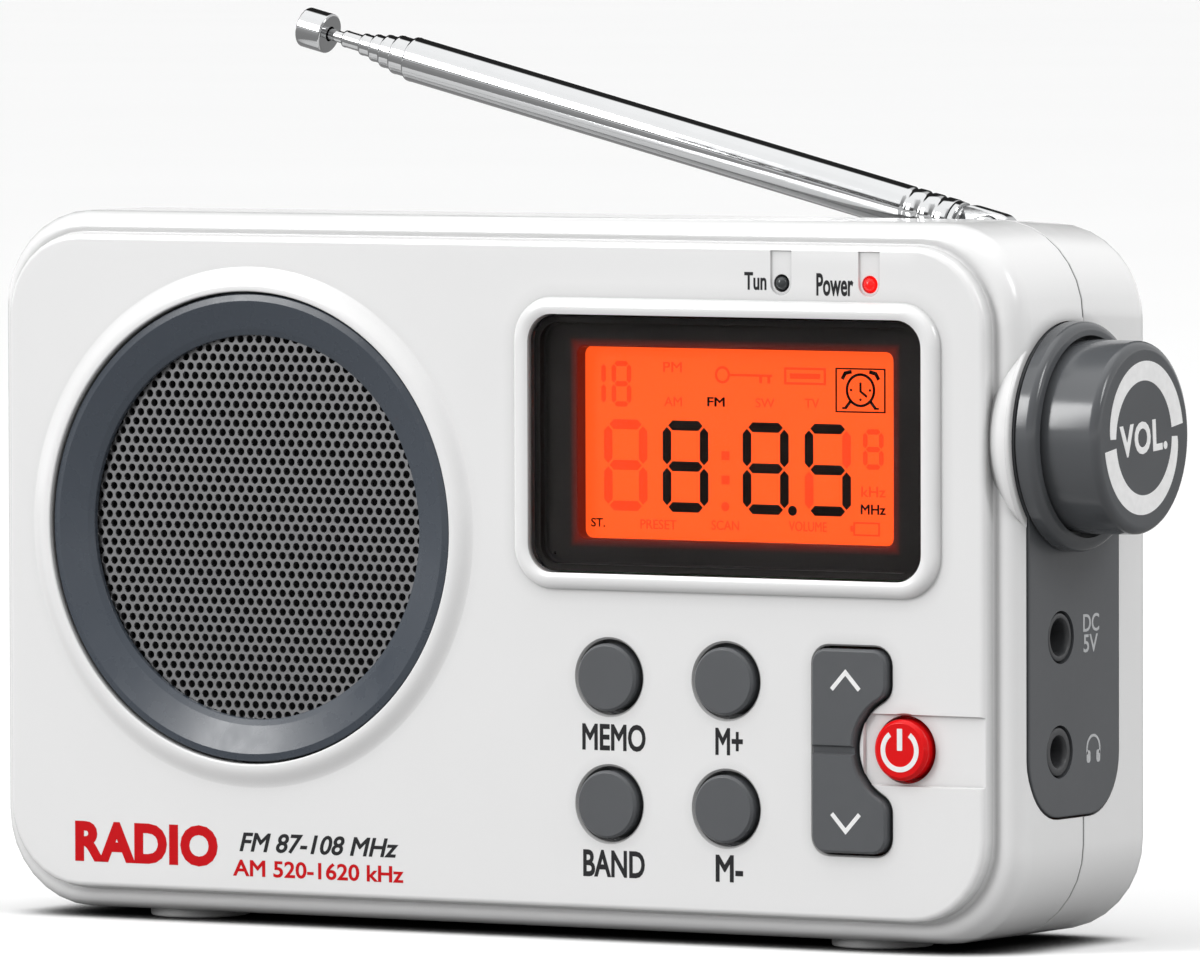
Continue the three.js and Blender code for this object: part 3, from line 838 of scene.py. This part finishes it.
def screw(at):
    """A domed screw with a cross slot."""
    thread = [(0, 16), (1.1, 16.6), (1.4, 17.4), (1.4, 36.6), (2.8, 36.6), (2.8, 37.6)]
    head = [(2.6, 38.1), (2.1, 38.5), (1.2, 38.7), (0, 38.75)]
    taper = [(0.25, 37.3), (0, 39)]
    slots = [prism("y", rect(*at, *size, 0.1, 2), taper) for size in ((3.2, 0.55), (0.55, 3.2))]
    return carved(lathe("y", at, thread + head, 32), *slots)


# ---------------- loudspeaker
def grille_sheet():
    """A flat sheet with a regular pattern of round holes, out to just under the ring's lip."""
    row_step = GRILLE_SHEET["pitch"] * sqrt(3) / 2
    reach = GRILLE_SHEET["reach"]
    rows = int(reach / row_step) + 1
    columns = int(reach / GRILLE_SHEET["pitch"]) + 1
    made = bmesh.new()
    for j in range(-rows, rows + 1):
        for i in range(-columns, columns + 1):
            x = (i + (j % 2) / 2) * GRILLE_SHEET["pitch"]
            z = j * row_step
            if hypot(x, z) <= reach:
                add_cell(made, SPEAKER[0] + x, SPEAKER[1] + z)
    bmesh.ops.remove_doubles(made, verts=made.verts, dist=0.02)
    bmesh.ops.recalc_face_normals(made, faces=made.faces)
    close_edges(made)
    return made


def add_cell(made, x, z):
    """One six-sided cell with a round hole that has a rolled front edge."""
    sides = 12
    hole = GRILLE_SHEET["hole"]
    front = GRILLE_SHEET["front"]
    back = GRILLE_SHEET["back"]
    corner = GRILLE_SHEET["pitch"] / sqrt(3)
    edge = corner * cos(pi / 6)
    turns = [2 * pi * k / sides + pi / 6 for k in range(sides)]
    outer = [corner if k % 2 == 0 else edge for k in range(sides)]
    loops = [
        (outer, front),
        ([hole + 0.07] * sides, front),
        ([hole] * sides, front + 0.1),
        ([hole] * sides, back),
        (outer, back),
    ]
    rows = []
    for radii, y in loops:
        spots = [(x + r * cos(a), y, z + r * sin(a)) for r, a in zip(radii, turns)]
        rows.append([made.verts.new(p) for p in spots])
    for a, b in zip(rows, rows[1:]):
        for k in range(sides):
            n = (k + 1) % sides
            made.faces.new((a[k], a[n], b[n], b[k]))


def face_place(vert):
    """Where a vertex of the sheet lies on its face, to a hundredth of a millimetre."""
    return round(vert.co.x, 2), round(vert.co.z, 2)


def close_edges(made):
    """Closes the sheet's rim, where the outer cells end."""
    middle = (GRILLE_SHEET["front"] + GRILLE_SHEET["back"]) / 2
    rim = [edge for edge in made.edges if len(edge.link_faces) == 1]
    behind = {face_place(v): v for edge in rim for v in edge.verts if v.co.y > middle}
    for edge in rim:
        a, b = edge.verts
        c = behind.get(face_place(b))
        d = behind.get(face_place(a))
        if c and d and max(a.co.y, b.co.y) < middle:
            made.faces.new((a, b, c, d))
    bmesh.ops.recalc_face_normals(made, faces=made.faces)


def speaker_ring():
    profile = [
        (29.6, 2.0), (29.6, 1.25, 0.25), (30.6, 0.75, 0.5), (34.9, -0.7, 0.3), (36.05, -0.45, 0.25),
        (36.05, 2.9), (38.3, 2.9), (38.3, 4.4), (31.4, 4.4), (31.4, 2.0),
    ]
    return tube("y", SPEAKER, rounded(profile, 5), 128)


def build_speaker():
    piece("speaker_trim", speaker_ring(), "case", RING, ["speaker_ring"])
    piece("speaker_mesh", grille_sheet(), "case", GRILLE, ["speaker_grille"], 50)


# ---------------- display
# Marks are placed in the units of a drawing of the display, as left, top, right and bottom.
DRAWING_WIDTH = 1080
DRAWING_HEIGHT = 652
DRAWING_X = 40.95  # its middle, which lies behind the window
UNIT = LCD[2] / DRAWING_WIDTH
# the bars of a seven-bar digit, in its own width and height, as (first end, second end)
BARS = {
    "a": ((0, 1), (1, 1)),
    "b": ((1, 1), (1, 0.5)),
    "c": ((1, 0.5), (1, 0)),
    "d": ((0, 0), (1, 0)),
    "e": ((0, 0), (0, 0.5)),
    "f": ((0, 0.5), (0, 1)),
    "g": ((0, 0.5), (1, 0.5)),
}
WIDE_BAR = 1.5
NARROW_BAR = 0.8
DARK_DIGITS = [
    (288, 248, 445, 558, "abcdefg", WIDE_BAR),
    (563, 248, 720, 558, "abcdefg", WIDE_BAR),
    (775, 248, 932, 558, "acdfg", WIDE_BAR),
]
FAINT_DIGITS = [
    (85, 248, 235, 558, "abcdefg", WIDE_BAR),
    (775, 248, 932, 558, "be", WIDE_BAR),
    (973, 262, 1043, 398, "abcdefg", NARROW_BAR),
    (112, 50, 180, 205, "abcdefg", NARROW_BAR),
    (60, 50, 92, 205, "bc", NARROW_BAR),
]
DARK_WORDS = {
    "FM": (442, 166, 502, 198, 0.02),
    "MHz": (965, 515, 1050, 549, 0.02),
    "ST.": (40, 585, 88, 615, 0.01),
}
FAINT_WORDS = {
    "PM": (290, 50, 355, 85, 0.01),
    "AM": (293, 168, 355, 200, 0.01),
    "SW": (607, 166, 673, 198, 0.01),
    "TV": (775, 164, 825, 196, 0.01),
    "kHz": (967, 455, 1050, 490, 0.01),
    "PRESET": (210, 585, 335, 618, 0.01),
    "SCAN": (455, 582, 550, 615, 0.01),
    "VOLUME": (720, 578, 850, 612, 0.01),
}
ALARM_AT = (965, 132)
COLON = [(490, 348, 518, 378), (490, 430, 518, 460)]
KEY_SHANK = [(518, 86, 665, 94), (620, 94, 630, 116), (648, 94, 658, 116)]
BADGE_BAR = (725, 80, 828, 98)
CELL_TIP = (930, 588, 940, 608)


def screen(x, y):
    """A place on the display's drawing, in X and Z."""
    left = DRAWING_X - LCD[2] / 2
    top = LCD[1] + LCD[3] / 2
    return left + x / DRAWING_WIDTH * LCD[2], top - y / DRAWING_HEIGHT * LCD[3]


def bar(start, end, width):
    """One bar of a digit, with pointed ends."""
    ahead = (end - start).normalized()
    side = Vector((-ahead.y, ahead.x)) * width / 2
    tip_a = start + ahead * width * 0.16
    tip_b = end - ahead * width * 0.16
    neck_a = tip_a + ahead * width * 0.5
    neck_b = tip_b - ahead * width * 0.5
    corners = [tip_a, neck_a - side, neck_b - side, tip_b, neck_b + side, neck_a + side]
    return [tuple(c) for c in corners]


def digit(x0, y0, x1, y1, bars, width):
    """A seven-bar digit, as outlines in X and Z."""
    half = Vector((width, width)) / 2
    low = Vector(screen(x0, y1)) + half
    size = Vector(screen(x1, y0)) - half - low
    ends = [[low + size * Vector(share) for share in BARS[name]] for name in bars]
    return [bar(start, end, width) for start, end in ends]


def patch(x0, y0, x1, y1):
    left, low = screen(x0, y1)
    right, high = screen(x1, y0)
    return [(right, low), (right, high), (left, high), (left, low)]


def printed_word(text, x0, y0, x1, y1, bold, ink):
    left, low = screen(x0, y1)
    right, high = screen(x1, y0)
    return fitted(lettering(text, bold), "y", left, right, low, high, *ink)


def dot(x, y, radius, sides=32):
    return arc(*screen(x, y), radius * UNIT, 0, 2 * pi * (1 - 1 / sides), sides - 1)


def hoop(x, y, radius, width):
    """A printed ring, in two halves."""
    inner = (radius - width / 2) * UNIT
    outer = (radius + width / 2) * UNIT
    return [ring_arc(*screen(x, y), inner, outer, s, s + pi, 20) for s in (0, pi)]


def line(points, width):
    return stroke([screen(*p) for p in points], width * UNIT)


def hollow_box(x0, y0, x1, y1, width):
    return [
        patch(x0, y0, x1, y0 + width),
        patch(x0, y1 - width, x1, y1),
        patch(x0, y0 + width, x0 + width, y1 - width),
        patch(x1 - width, y0 + width, x1, y1 - width),
    ]


def alarm_icon():
    """An alarm clock in a box: a face with hands and three dots, two bells and two legs."""
    x, y = ALARM_AT
    outlines = hollow_box(880, 58, 1050, 208, 5)
    outlines += hoop(x, y, 46, 8)
    outlines.append(line([(x, y - 26), (x, y + 4), (x + 22, y + 22)], 7))
    for s in (-1, 1):
        bell = [(x + s * 62, y - 36), (x + s * 52, y - 56), (x + s * 30, y - 62)]
        outlines.append(line(bell, 11))
        outlines.append(line([(x + s * 34, y + 38), (x + s * 50, y + 60)], 9))
        outlines.append(line([(x + s * 46, y + 61), (x + s * 62, y + 61)], 6))
    for s, t in ((1, 0), (-1, 0), (0, 1)):
        outlines.append(dot(x + s * 32, y + t * 32, 4, 10))
    return outlines


def faint_icons():
    """A key, a badge and a battery, beside the colon and a decimal point."""
    outlines = [patch(*place) for place in (*COLON, *KEY_SHANK, BADGE_BAR, CELL_TIP)]
    outlines += hoop(494, 90, 22, 8)
    outlines += hollow_box(705, 60, 848, 118, 8)
    outlines += hollow_box(940, 575, 1030, 622, 6)
    return outlines + [dot(503, 535, 14)]


def drawing(digits, words, outlines, lift):
    """Marks printed on the display's face, as thick as lift."""
    ink = (LCD_FACE - lift, LCD_FACE)
    bars = [outline for row in digits for outline in digit(*row)]
    flat = [plate("y", outline, ink) for outline in bars + outlines]
    return merge(*flat, *[printed_word(text, *row, ink) for text, row in words.items()])


def build_display():
    lens = prism("y", rect(*LENS), [(0.15, -0.6), (0, -0.45), (0, 0.3), (0.1, 0.4)])
    body = prism("y", rect(*LENS), [(0, 0.7), (0, 4.5)])
    well = prism("y", rect(*LENS), [(1.0, 0), (1.0, 1.9), (1.25, 2.1)])
    window = prism("y", rect(*LCD), [(-0.25, 2), (0, 2.3), (0, 5)])
    sensor = rod("y", (10.6, 58.6), 0.22, 1.9, 2.5, 12)
    surround = carved(body, well, window, sensor)
    backing = rect(*LCD[:2], LCD[2] + 4, LCD[3] + 4, 0.8)
    panel = prism("y", backing, [(0.1, LCD_FACE), (0, 4.9), (0, 6.7), (0.1, 6.8)])
    dark = drawing(DARK_DIGITS, DARK_WORDS, alarm_icon() + [dot(733, 543, 15)], 0.05)
    faint = drawing(FAINT_DIGITS, FAINT_WORDS, faint_icons(), 0.03)
    piece("display_window", lens, "case", WINDOW, ["display_lens"])
    piece("display_surround", surround, "case", MASK, ["display_mask"])
    piece("display_panel", panel, "case", GLOW, ["lcd_panel"])
    piece("display_marks_dark", dark, "case", SEGMENT)
    piece("display_marks_faint", faint, "case", GHOST)


# ---------------- keys and lamps
def key_cap(at, radius, proud, edge):
    """A round key with a skirt behind the face."""
    skirt = 6.5
    profile = [
        (0, -proud), (radius - edge, -proud, 0.15), (radius, edge - proud, 0.15), (radius, 2.9),
        (skirt, 2.9, 0.2), (skirt, 3.9), (0, 3.9),
    ]
    return lathe("y", at, rounded(profile, 4), 64)


def rocker():
    """The tuning key, with a groove across its middle."""
    middle = (ROCKER["bottom"] + ROCKER["top"]) / 2
    edge = [(0, 3.9), (0, -0.85), (0.06, -0.95), (0.3, -1.16), (0.4, -1.2)]
    valley = [(1.0, -1.5), (-0.75, -1.5), (-0.4, -0.4), (0.55, -0.55)]
    groove = loft([[(x, y, middle + z) for z, y in valley] for x in (50, 80)])
    return carved(prism("y", rocker_outline(), edge), groove)


def chevron(z_apex, z_end):
    middle = 63.4
    half = 2.4
    points = [(middle - half, z_end), (middle, z_apex), (middle + half, z_end)]
    return plate("y", stroke(points, 0.66), ROCKER_INK)


def power_symbol():
    """A ring that is open at the top, with an upright stroke in the gap."""
    x, z = POWER
    gap = radians(36)
    up = pi / 2
    ring = ring_arc(x, z, 2.5, 3.28, up + gap, up + 2 * pi - gap, 40)
    stem = rect(x, z + 1.6, 0.88, 3.3, 0.12, 3)
    return merge(plate("y", ring, POWER_INK), plate("y", stem, POWER_INK))


def lamp_body(at):
    dome = [(0, -0.42), (0.4, -0.36), (0.75, -0.15), (0.98, 0.2), (1.05, 0.6), (1.05, 3)]
    return lathe("y", at, dome + [(1.5, 3), (1.5, 5), (0, 5)], 32)


def build_keys():
    for name, at in KEYS.items():
        cap = key_cap(at, KEY_RADIUS, 1.1, 0.35)
        piece("key_" + name, cap, name + "_key", GREY, ["button_" + name])
    piece("key_rocker", rocker(), "tuning_key", GREY, ["tuning_rocker"])
    chevrons = merge(chevron(42.1, 39.5), chevron(18.2, 20.8))
    piece("key_rocker_marks", chevrons, "tuning_key", INK_WHITE)
    cap = key_cap(POWER, POWER_RADIUS, 1.4, 0.5)
    piece("key_power", cap, "power_key", RED, ["power_button"])
    piece("key_power_mark", power_symbol(), "power_key", INK_WHITE)
    lamps = {"tuning": (LAMP_DARK, "lamp_dark"), "power": (LAMP_LIT, "lamp_lit")}
    for name, (material, slot) in lamps.items():
        piece("lamp_" + name, lamp_body(LEDS[name]), "case", material, [name + "_led"])


def case_word(text, place, bold, lean=0.0, spacing=1.0):
    return fitted(lettering(text, bold, lean, spacing), "y", *place, *CASE_INK)


def build_lettering():
    """Generic words and figures on the case, each placed by left, right, bottom and top."""
    labels = {
        "MEMO": (16.5, 27.7, 28.9, 33.0),
        "BAND": (16.6, 27.5, 9.7, 13.8),
        "M+": (40.0, 44.8, 28.9, 33.0),
        "M-": (40.0, 44.8, 9.7, 13.8),
        "Tun": (45.25, 49.1, 99.2, 101.9),
        "Power": (57.8, 64.2, 98.5, 101.9),
    }
    dark = [case_word(text, place, 0.024) for text, place in labels.items()]
    dark.append(case_word("FM 87-108 MHz", (-45.4, -16.5, 11.2, 14.2), 0.02, 0.25))
    piece("print_dark", merge(*dark), "case", INK_DARK)
    title = case_word("RADIO", (-75.7, -49.4, 8.6, 15.0), 0.05, spacing=1.06)
    bands = case_word("AM 520-1620 kHz", (-46.6, -15.6, 7.4, 10.0), 0.02)
    piece("print_red", merge(title, bands), "case", INK_RED)


# ---------------- right-hand side
def side_panel():
    """The grey strip, open behind the sockets and round the volume shaft."""
    face = PANEL["face"]
    profile = [(0, 88.8), (0, face - 0.3), (0.09, face - 0.09), (0.3, face)]
    holes = [rod("x", (y, z), 4, 80, 95, 48) for y, z, _ in JACKS.values()]
    return carved(prism("x", panel_outline(), profile), *holes, rod("x", VOLUME, 4.6, 80, 95))


def jack(y, z, bore):
    """A socket: a round nose through the panel, on a square body inside."""
    face = PANEL["face"] - 0.2
    nose = [
        (bore, 77), (4.2, 77), (4.2, 88.3), (3.67, 88.3), (3.67, face, 0.25),
        (bore + 0.55, face, 0.15), (bore, face - 0.8),
    ]
    body = prism("x", rect(y, z, 9, 11, 0.4, 2), [(0.2, 77.2), (0, 77.4), (0, 88.1), (0.2, 88.3)])
    core = rod("x", (y, z), 4.1, 70, 95, 32)
    return joined(carved(body, core), tube("x", (y, z), rounded(nose, 4), 48))


def knob():
    """The volume knob, hollow where its shaft goes in."""
    socket = 3.3
    profile = [
        (0, 99.4), (socket, 99.4), (socket, 92.2), (14.3, 92.2, 0.3), (14.6, 96),
        (14.5, KNOB_FACE, 1.4), (0, KNOB_FACE),
    ]
    return lathe("x", VOLUME, rounded(profile, 8), 96)


def collar():
    profile = [(15.2, 91.5), (17.3, 91.5, 0.2), (17.3, 94.6, 1.3), (15.2, 94.6, 0.8)]
    return tube("x", VOLUME, rounded(profile, 8), 96)


def crescent(turned):
    """A band around the knob's face that grows thicker from one end to the other."""
    centre = Vector(VOLUME)
    start = radians(175.5)
    end = radians(4.5)
    radius = 8.6
    thin = 1.7
    thick = 3.5
    steps = 44
    inner = []
    outer = []
    for k in range(steps + 1):
        share = k / steps
        angle = start + (end - start) * share + turned
        out = Vector((cos(angle), sin(angle)))
        inner.append(tuple(centre + out * radius))
        outer.append(tuple(centre + out * (radius + thin + (thick - thin) * share**0.6)))
    return plate("x", inner + outer[::-1], KNOB_INK)


def knob_marks():
    """The word on the knob, a little turned, between two crescents."""
    y, z = VOLUME
    tilt = radians(4)
    letters = lettering("VOL.", 0.035, spacing=1.12)
    word = fitted(letters, "x", y - 7.4, y + 7.1, z - 2.4, z + 2.5, *KNOB_INK)
    to_axis = Matrix.Translation((0, -y, -z))
    moved(word, to_axis.inverted() @ Matrix.Rotation(tilt, 4, "X") @ to_axis)
    return merge(word, crescent(tilt), crescent(tilt + pi))


def headphone_icon():
    """A headband with two ear pads, as outlines."""
    y, z = 25.2, 30.1
    outlines = [ring_arc(y, z, 1.75, 2.15, 0, pi, 20)]
    for s in (-1, 1):
        outlines.append(rect(y + s * 1.95, z - 0.4, 0.4, 0.9, 0.1, 2))
        outlines.append(rect(y + s * 1.5, z - 1.2, 1.15, 1.9, 0.5, 4))
    return outlines


def build_side():
    piece("side_plate", side_panel(), "case", GREY, ["side_panel"])
    labels = {"DC": (22.1, 27.0, 47.75, 50.45), "5V": (22.2, 26.6, 44.65, 47.35)}
    marks = [fitted(lettering(t, 0.012), "x", *place, *PANEL_INK) for t, place in labels.items()]
    marks += [plate("x", outline, PANEL_INK) for outline in headphone_icon()]
    piece("side_print", merge(*marks), "case", INK_PALE)
    for name, place in JACKS.items():
        socket = jack(*place)
        piece("socket_" + name, socket, "case", JACK_GREY, [name + "_jack"])
    piece("volume_ring", collar(), "case", KNOB_GREY, ["volume_collar"])
    piece("volume_dial", knob(), "volume_control", KNOB_GREY, ["volume_knob"])
    piece("volume_dial_marks", knob_marks(), "volume_control", INK_WHITE)


# ---------------- rod aerial
def aerial_tube(i):
    """One section, with a rolled lip at its outer end. The mast's own X runs from pivot to tip."""
    radius, from_tip = SECTIONS[i]
    end = AERIAL_LENGTH - from_tip
    if i == len(SECTIONS) - 1:
        start = 22
        profile = rounded([(0, start), (radius, start), (radius, end, 0.2), (0, end)], 3)
        return lathe("x", (0, 0), profile, 32)
    start = 16.0 + i if i else 6.2
    inner = radius - 0.3
    lip = [(0, -0.7), (0.05, -0.5), (0.02, -0.15), (-0.12, 0), (-0.28, 0)]
    profile = [(inner, start), (radius - 0.1, start), (radius, start + 0.2)]
    for middle in () if i else CRIMPS:
        profile += [(radius - depth, middle + along_tube) for along_tube, depth in CRIMP_SHAPE]
    profile += [(radius + out, end + along_tube) for out, along_tube in lip]
    return tube("x", (0, 0), profile + [(inner, end - 0.2)], 48)


def tang():
    """The flat that the aerial turns on, with a plug and a ferrule that hold its main tube."""
    axis = (0, 0)
    outline = rect(0.6, 0, 10.8, 6.8, 2.9, 8)
    flat = prism("y", outline, [(0.25, -1.3), (0, -1.05), (0, 1.05), (0.25, 1.3)])
    plug = lathe("x", axis, rounded([(0, 4.4), (2.85, 4.4, 0.4), (2.85, 14.5), (0, 14.5)]), 40)
    ferrule = tube("x", axis, [(2.7, 5.0), (3.3, 5.0), (3.42, 5.15), (3.42, 5.9), (2.7, 5.9)], 48)
    return carved(joined(flat, plug, ferrule), rod("y", axis, 1.6, -5, 5))


def tip():
    """The turned button on the last section."""
    end = AERIAL_LENGTH
    start = end - 4.6
    profile = rounded([(0, start), (3.15, start, 0.35), (3.15, end, 0.3), (0, end)], 5)
    socket = rod("x", (0, 0), 1.2, end - 6, end - 1.9, 24)
    return carved(lathe("x", (0, 0), profile, 64), socket)


def rivet():
    """The pivot pin, with a domed head at the front."""
    x, y, z = PIVOT
    head = [(0, -2.6), (2.5, -2.35, 0.5), (2.7, -1.6), (1.3, -1.6), (1.3, 3.4), (0, 3.4)]
    profile = [(radius, y + w, *corner) for radius, w, *corner in head]
    return lathe("y", (x, z), rounded(profile, 4), 40)


def build_aerial():
    piece("mast_tang", moved(tang(), MAST), "aerial_1", CHROME, ["aerial_knuckle"])
    for i in range(len(SECTIONS)):
        section = moved(aerial_tube(i), MAST)
        name = f"mast_tube_{i + 1}"
        piece(name, section, f"aerial_{i + 1}", CHROME, [f"aerial_section_{i + 1}"], 50)
    piece("mast_tip", moved(tip(), MAST), "aerial_7", CHROME, ["aerial_tip"])
    piece("mast_rivet", rivet(), "case", CHROME, ["aerial_pivot_screw"])


# ---------------- the CAD nodes that stay
CAD_FINISH = {
    "plain_steel": STEEL,
    "black_plastic": SWITCH,
    "board": BOARD,
    "ferrite": FERRITE,
    "copper": COPPER,
    "speaker_paper": PAPER,
    "backlight": DIFFUSER,
}
CAD_SLOTS = {
    "main_board": "board",
    "key_board": "board",
    "ferrite_rod": "ferrite",
    "speaker_magnet": "ferrite",
    "aerial_coil": "copper",
    "speaker_cone": "speaker_paper",
    "lcd_backlight": "backlight",
}


def finish_cad_nodes():
    """Gives every CAD node that still shows its procedural material and softened edges."""
    for name, node in sorted(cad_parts.items()):
        if node.hide_render:
            continue
        slot = cad_slot(name)
        node.data.materials.clear()
        node.data.materials.append(CAD_FINISH[slot])
        edge = node.modifiers.new("edge", "BEVEL")
        edge.width = 0.12 * MM
        edge.segments = 2
        edge.limit_method = "ANGLE"
        edge.angle_limit = radians(50)


def cad_slot(name):
    if name.startswith("switch"):
        return "black_plastic"
    return CAD_SLOTS.get(name, "plain_steel")


# ---------------- stage, light and camera
def build_stage():
    """A white floor with a painted contact shadow close under the case, which throws little light back
    at it.
    """
    reach = 40000
    level = -0.02
    outline = [(reach, -reach), (reach, reach), (-reach, reach), (-reach, -reach)]
    sheet = bmesh.new()
    sheet.faces.new([sheet.verts.new((x, y, level)) for x, y in outline])
    floor = to_object("floor", to_mesh(moved(sheet, TO_ROW), "floor"))
    surface = Surface("pale_floor", (0.97, 0.97, 0.97), 1.0)
    surface.set(Specular_IOR_Level=0.0)
    surface.tint(surface.noise(400, 2), 0.01)
    # painted contact shadow: the floor's colour goes nearly black where the case is close
    surface.shade(9, 0.97, 0.3, 0.72)
    surface.dim_bounce(0.3)
    floor.data.materials.append(surface.material)


def area_light(name, place, target, size, power):
    data = bpy.data.lights.new(name, "AREA")
    data.shape = "RECTANGLE"
    data.size, data.size_y = size
    data.energy = power
    light = to_object(name, data)
    light.location = place
    light.rotation_euler = (Vector(target) - Vector(place)).to_track_quat("-Z", "Y").to_euler()


def build_light():
    build_world()
    area_light("key", (-1.14, -1.64, 0.95), (0, 0, 0.06), (0.55, 1.0), 20)
    area_light("side", (1.9, -0.1, 1.3), (0.06, 0, 0.06), (0.5, 0.8), 12)


# light by elevation, as (degrees, level), with darker bands that chrome shows
OVERHEAD = [(68, 1.75), (88, 1.75)]
TENT = [(5, 1.1), (9, 0.42), (30, 0.48), (50, 0.85), (60, 1.0), *OVERHEAD]
SOFTBOX = [(4, 1.0), (7, 0.12), (18, 0.12), (23, 1.7), (60, 1.7), *OVERHEAD]
BACK = [(5, 1.1), (9, 0.9), (60, 1.0), *OVERHEAD]
BEHIND_LEFT = [(4, 1.1), (7, 0.03), (60, 0.03), (66, 1.75), (88, 1.75)]


class Sky(Graph):
    """The world's light, by direction."""

    def __init__(self):
        SCENE.world = bpy.data.worlds.new("studio")
        SCENE.world.use_nodes = True
        super().__init__(SCENE.world.node_tree)
        direction = self.node("TexCoord").outputs["Generated"]
        self.direction = self.node("SeparateXYZ", {0: direction}).outputs

    def share(self, axis, low, high):
        """Goes from 0 to 1 as the direction's part along the axis goes from low to high."""
        return self.ranged(self.direction[axis], 0, 1, low, high)

    def ramp(self, stops):
        """Light that depends on the elevation alone. The ramp runs over its sine."""
        ramp = self.node("ValToRGB", {"Fac": self.share("Z", -1, 1)})
        elements = ramp.color_ramp.elements
        elements.remove(elements[-1])
        for i, (degrees, level) in enumerate(stops):
            position = (sin(radians(degrees)) + 1) / 2
            stop = elements.new(position) if i else elements[0]
            stop.position = position
            stop.color = (level, level, level, 1)
        return ramp.outputs["Color"]


def build_world():
    """A bright tent with a softbox over its left half, and dark gaps that chrome picks up."""
    sky = Sky()
    left = sky.math("MULTIPLY", sky.share("X", -0.08, -0.25), sky.share("X", -0.92, -0.8))
    on_left = sky.mix(sky.share("Y", -0.1, 0.1), sky.ramp(SOFTBOX), sky.ramp(BEHIND_LEFT))
    elsewhere = sky.mix(sky.share("Y", 0.1, 0.5), sky.ramp(TENT), sky.ramp(BACK))
    light = sky.mix(left, elsewhere, on_left)
    sky.fill(sky.tree.nodes["Background"], {"Color": light})


def build_camera():
    """A long lens from the front right, a little above the object."""
    azimuth = 0.544542727
    pitch = 0.0479012294
    roll = -0.00267480934
    distance = 2122.005
    target = Vector((19.7432, 0, 68.5396))
    level = Vector((-sin(azimuth), cos(azimuth), 0))
    ahead = level * cos(pitch) - Vector((0, 0, sin(pitch)))
    right = Vector((cos(azimuth), sin(azimuth), 0))
    up = right.cross(ahead)
    rolled_right = right * cos(roll) + up * sin(roll)
    rolled_up = up * cos(roll) - right * sin(roll)
    turn = Matrix((rolled_right, rolled_up, -ahead)).transposed().to_4x4()
    data = bpy.data.cameras.new("camera")
    data.sensor_width = 36
    data.lens = 420
    data.clip_start = 0.1
    data.clip_end = 100
    camera = to_object("camera", data)
    camera.matrix_world = Matrix.Translation(TO_ROW @ (target - ahead * distance)) @ turn
    SCENE.camera = camera


build_camera()
build_stage()
build_light()
build_case()
build_speaker()
build_display()
build_keys()
build_lettering()
build_side()
build_aerial()
finish_cad_nodes()
SCENE.view_settings.view_transform = "Standard"
